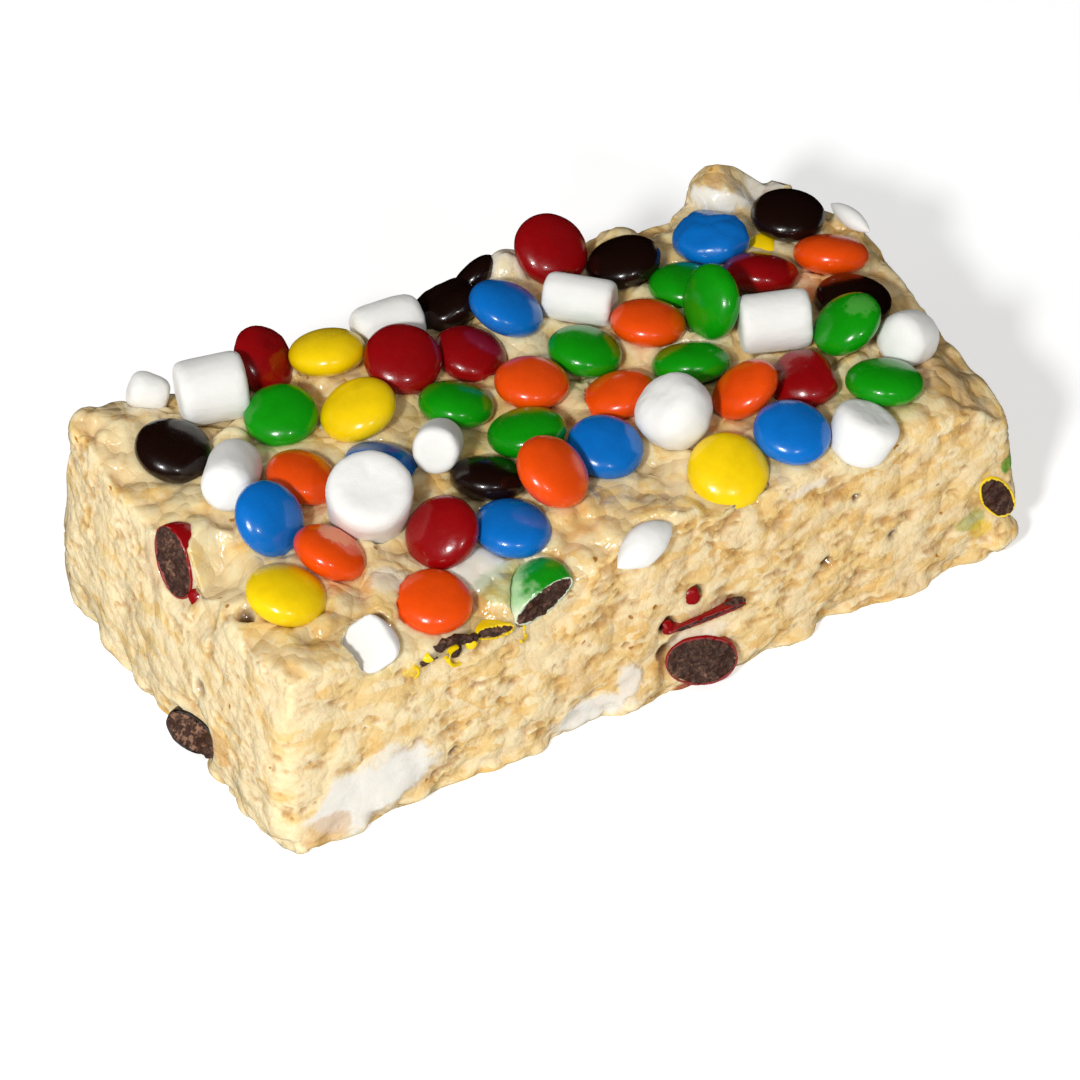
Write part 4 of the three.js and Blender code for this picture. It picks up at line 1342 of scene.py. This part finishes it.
def thin_hidden(piece):
    """Coarsens the mesh where it can't be seen: on the underside and under the toppings."""
    buried = np.zeros(len(piece.data.vertices), np.float32)
    piece.data.attributes["buried"].data.foreach_get("value", buried)
    activate(piece)
    bpy.ops.object.mode_set(mode="EDIT")

    def hidden(face):
        if face.calc_center_median().z < UNDERSIDE:
            return True
        return min(buried[vertex.index] for vertex in face.verts) > BURIED

    select_faces(piece, hidden)
    bpy.ops.mesh.decimate(ratio=HIDDEN_SHARE)
    bpy.ops.object.mode_set(mode="OBJECT")
    for name in ("buried", "place"):
        piece.data.attributes.remove(piece.data.attributes[name])


class TREAT_OT_crisp_mass(bpy.types.Operator):
    """Make the mass of crisped rice and melted marshmallow"""

    bl_idname = "treat.crisp_mass"
    bl_label = "Crisp mass"

    def execute(self, context):
        crisp = settings().crisp
        toppings = bpy.data.collections.new("toppings")
        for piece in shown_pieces():
            toppings.objects.link(piece)
        mass = copy_of(frame["nodes"][BLOCK], "crisp-mass")
        mass.parent = None
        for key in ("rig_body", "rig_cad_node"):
            del mass[key]
        activate(mass)
        mass.data.materials.clear()
        bpy.ops.object.mode_set(mode="EDIT")
        bpy.ops.mesh.select_all(action="SELECT")
        bpy.ops.mesh.remove_doubles(threshold=WELD)
        for middle, half in FILLS:
            bpy.ops.mesh.primitive_ico_sphere_add(
                subdivisions=3, radius=1, location=metres(middle), scale=metres(half)
            )
        bpy.ops.object.mode_set(mode="OBJECT")
        even_mesh(mass, crisp.pitch, MASS_SOFTENING)
        relief = mass.modifiers.new("kernels", "NODES")
        relief.node_group = relief_tree(toppings)
        apply_modifiers(mass)
        thin_hidden(mass)
        finished(mass, [crisp_finish()], [BLOCK])
        bpy.data.collections.remove(toppings)
        return {"FINISHED"}


# ---- The stage ----


# The lights: the setting that holds the power, the compass direction and height that the light
# comes from, the width of its disc in metres, and whether it shows in gloss.
LIGHTS = (
    ("key", (-140, 37), 0.2, True),
    ("second", (-95, 35), 0.14, True),
    ("fill", (172, 28), 1.2, False),
)
LIGHT_DISTANCE = 1.8
FLOOR_SIZE = 8
SENSOR_WIDTH = 36


def area_light(name, facing, width, power, aim):
    """A soft round light that looks at the aim point."""
    way = compass(*facing)
    bpy.ops.object.light_add(type="AREA", location=aim + way * LIGHT_DISTANCE)
    light = bpy.context.object
    light.name = name
    light.data.shape = "DISK"
    light.data.size = width
    light.data.energy = power
    light.rotation_euler = way.to_track_quat("Z", "Y").to_euler()
    return light


class TREAT_OT_stage(bpy.types.Operator):
    """Make the pale floor, the soft studio lights and the camera"""

    bl_idname = "treat.stage"
    bl_label = "Stage"

    def execute(self, context):
        stage = settings().stage
        deselect()
        bpy.ops.mesh.primitive_plane_add(size=FLOOR_SIZE)
        floor = bpy.context.object
        floor.name = "studio-floor"
        finish = Finish("studio floor", Roughness=0.9)
        finish.feed("Base Color", finish.mottled(solid(stage.floor), 50 * MM, 0.01))
        finish.shader.inputs["Emission Color"].default_value = (1, 1, 1, 1)
        finish.shader.inputs["Emission Strength"].default_value = stage.glow
        floor.data.materials.append(finish.material)
        floor.visible_glossy = False
        floor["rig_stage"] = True

        aim = Vector(stage.aim)
        for name, facing, width, in_gloss in LIGHTS:
            light = area_light(name + " light", facing, width, getattr(stage, name), aim)
            light.visible_glossy = in_gloss
        world = bpy.data.worlds.new("studio")
        world.use_nodes = True
        sky = world.node_tree.nodes["Background"].inputs
        sky["Color"].default_value = (1, 1, 1, 1)
        sky["Strength"].default_value = stage.sky
        world.cycles_visibility.glossy = False
        context.scene.world = world
        context.scene.view_settings.view_transform = "Standard"

        # An azimuth of 0 looks along +Y, from the compass direction -90.
        back = compass(stage.azimuth - 90, stage.elevation)
        bpy.ops.object.camera_add(location=aim + back * stage.distance)
        camera = context.object
        camera.rotation_mode = "QUATERNION"
        camera.rotation_quaternion = back.to_track_quat("Z", "Y")
        camera.data.lens = stage.lens
        camera.data.sensor_width = SENSOR_WIDTH
        camera.data.clip_start = 0.01
        context.scene.camera = camera
        return {"FINISHED"}


# ---- The add-on ----


class VIEW3D_PT_treat(bpy.types.Panel):
    """The treat's pieces and settings"""

    bl_label = "Treat"
    bl_space_type = "VIEW_3D"
    bl_region_type = "UI"
    bl_category = "Treat"

    def draw(self, context):
        for operator in OPERATORS:
            self.layout.operator(operator.bl_idname)
        for group in ("crisp", "candy", "marshmallow", "stage"):
            box = self.layout.box()
            box.label(text=group.capitalize())
            values = getattr(settings(), group)
            for name in values.__annotations__:
                box.prop(values, name)


GROUPS = (CrispSettings, CandySettings, MarshmallowSettings, StageSettings, TreatSettings)
OPERATORS = (
    TREAT_OT_candies,
    TREAT_OT_marshmallows,
    TREAT_OT_cut_candies,
    TREAT_OT_hidden_pieces,
    TREAT_OT_crisp_mass,
    TREAT_OT_stage,
)


def register():
    for item in (*GROUPS, *OPERATORS, VIEW3D_PT_treat):
        bpy.utils.register_class(item)
    bpy.types.Scene.treat = PointerProperty(type=TreatSettings)


def unregister():
    del bpy.types.Scene.treat
    for item in reversed((*GROUPS, *OPERATORS, VIEW3D_PT_treat)):
        bpy.utils.unregister_class(item)


def main():
    register()
    bpy.ops.treat.candies()
    bpy.ops.treat.marshmallows()
    bpy.ops.treat.cut_candies()
    bpy.ops.treat.hidden_pieces()
    bpy.ops.treat.crisp_mass()
    bpy.ops.treat.stage()


if __name__ == "__main__":
    main()
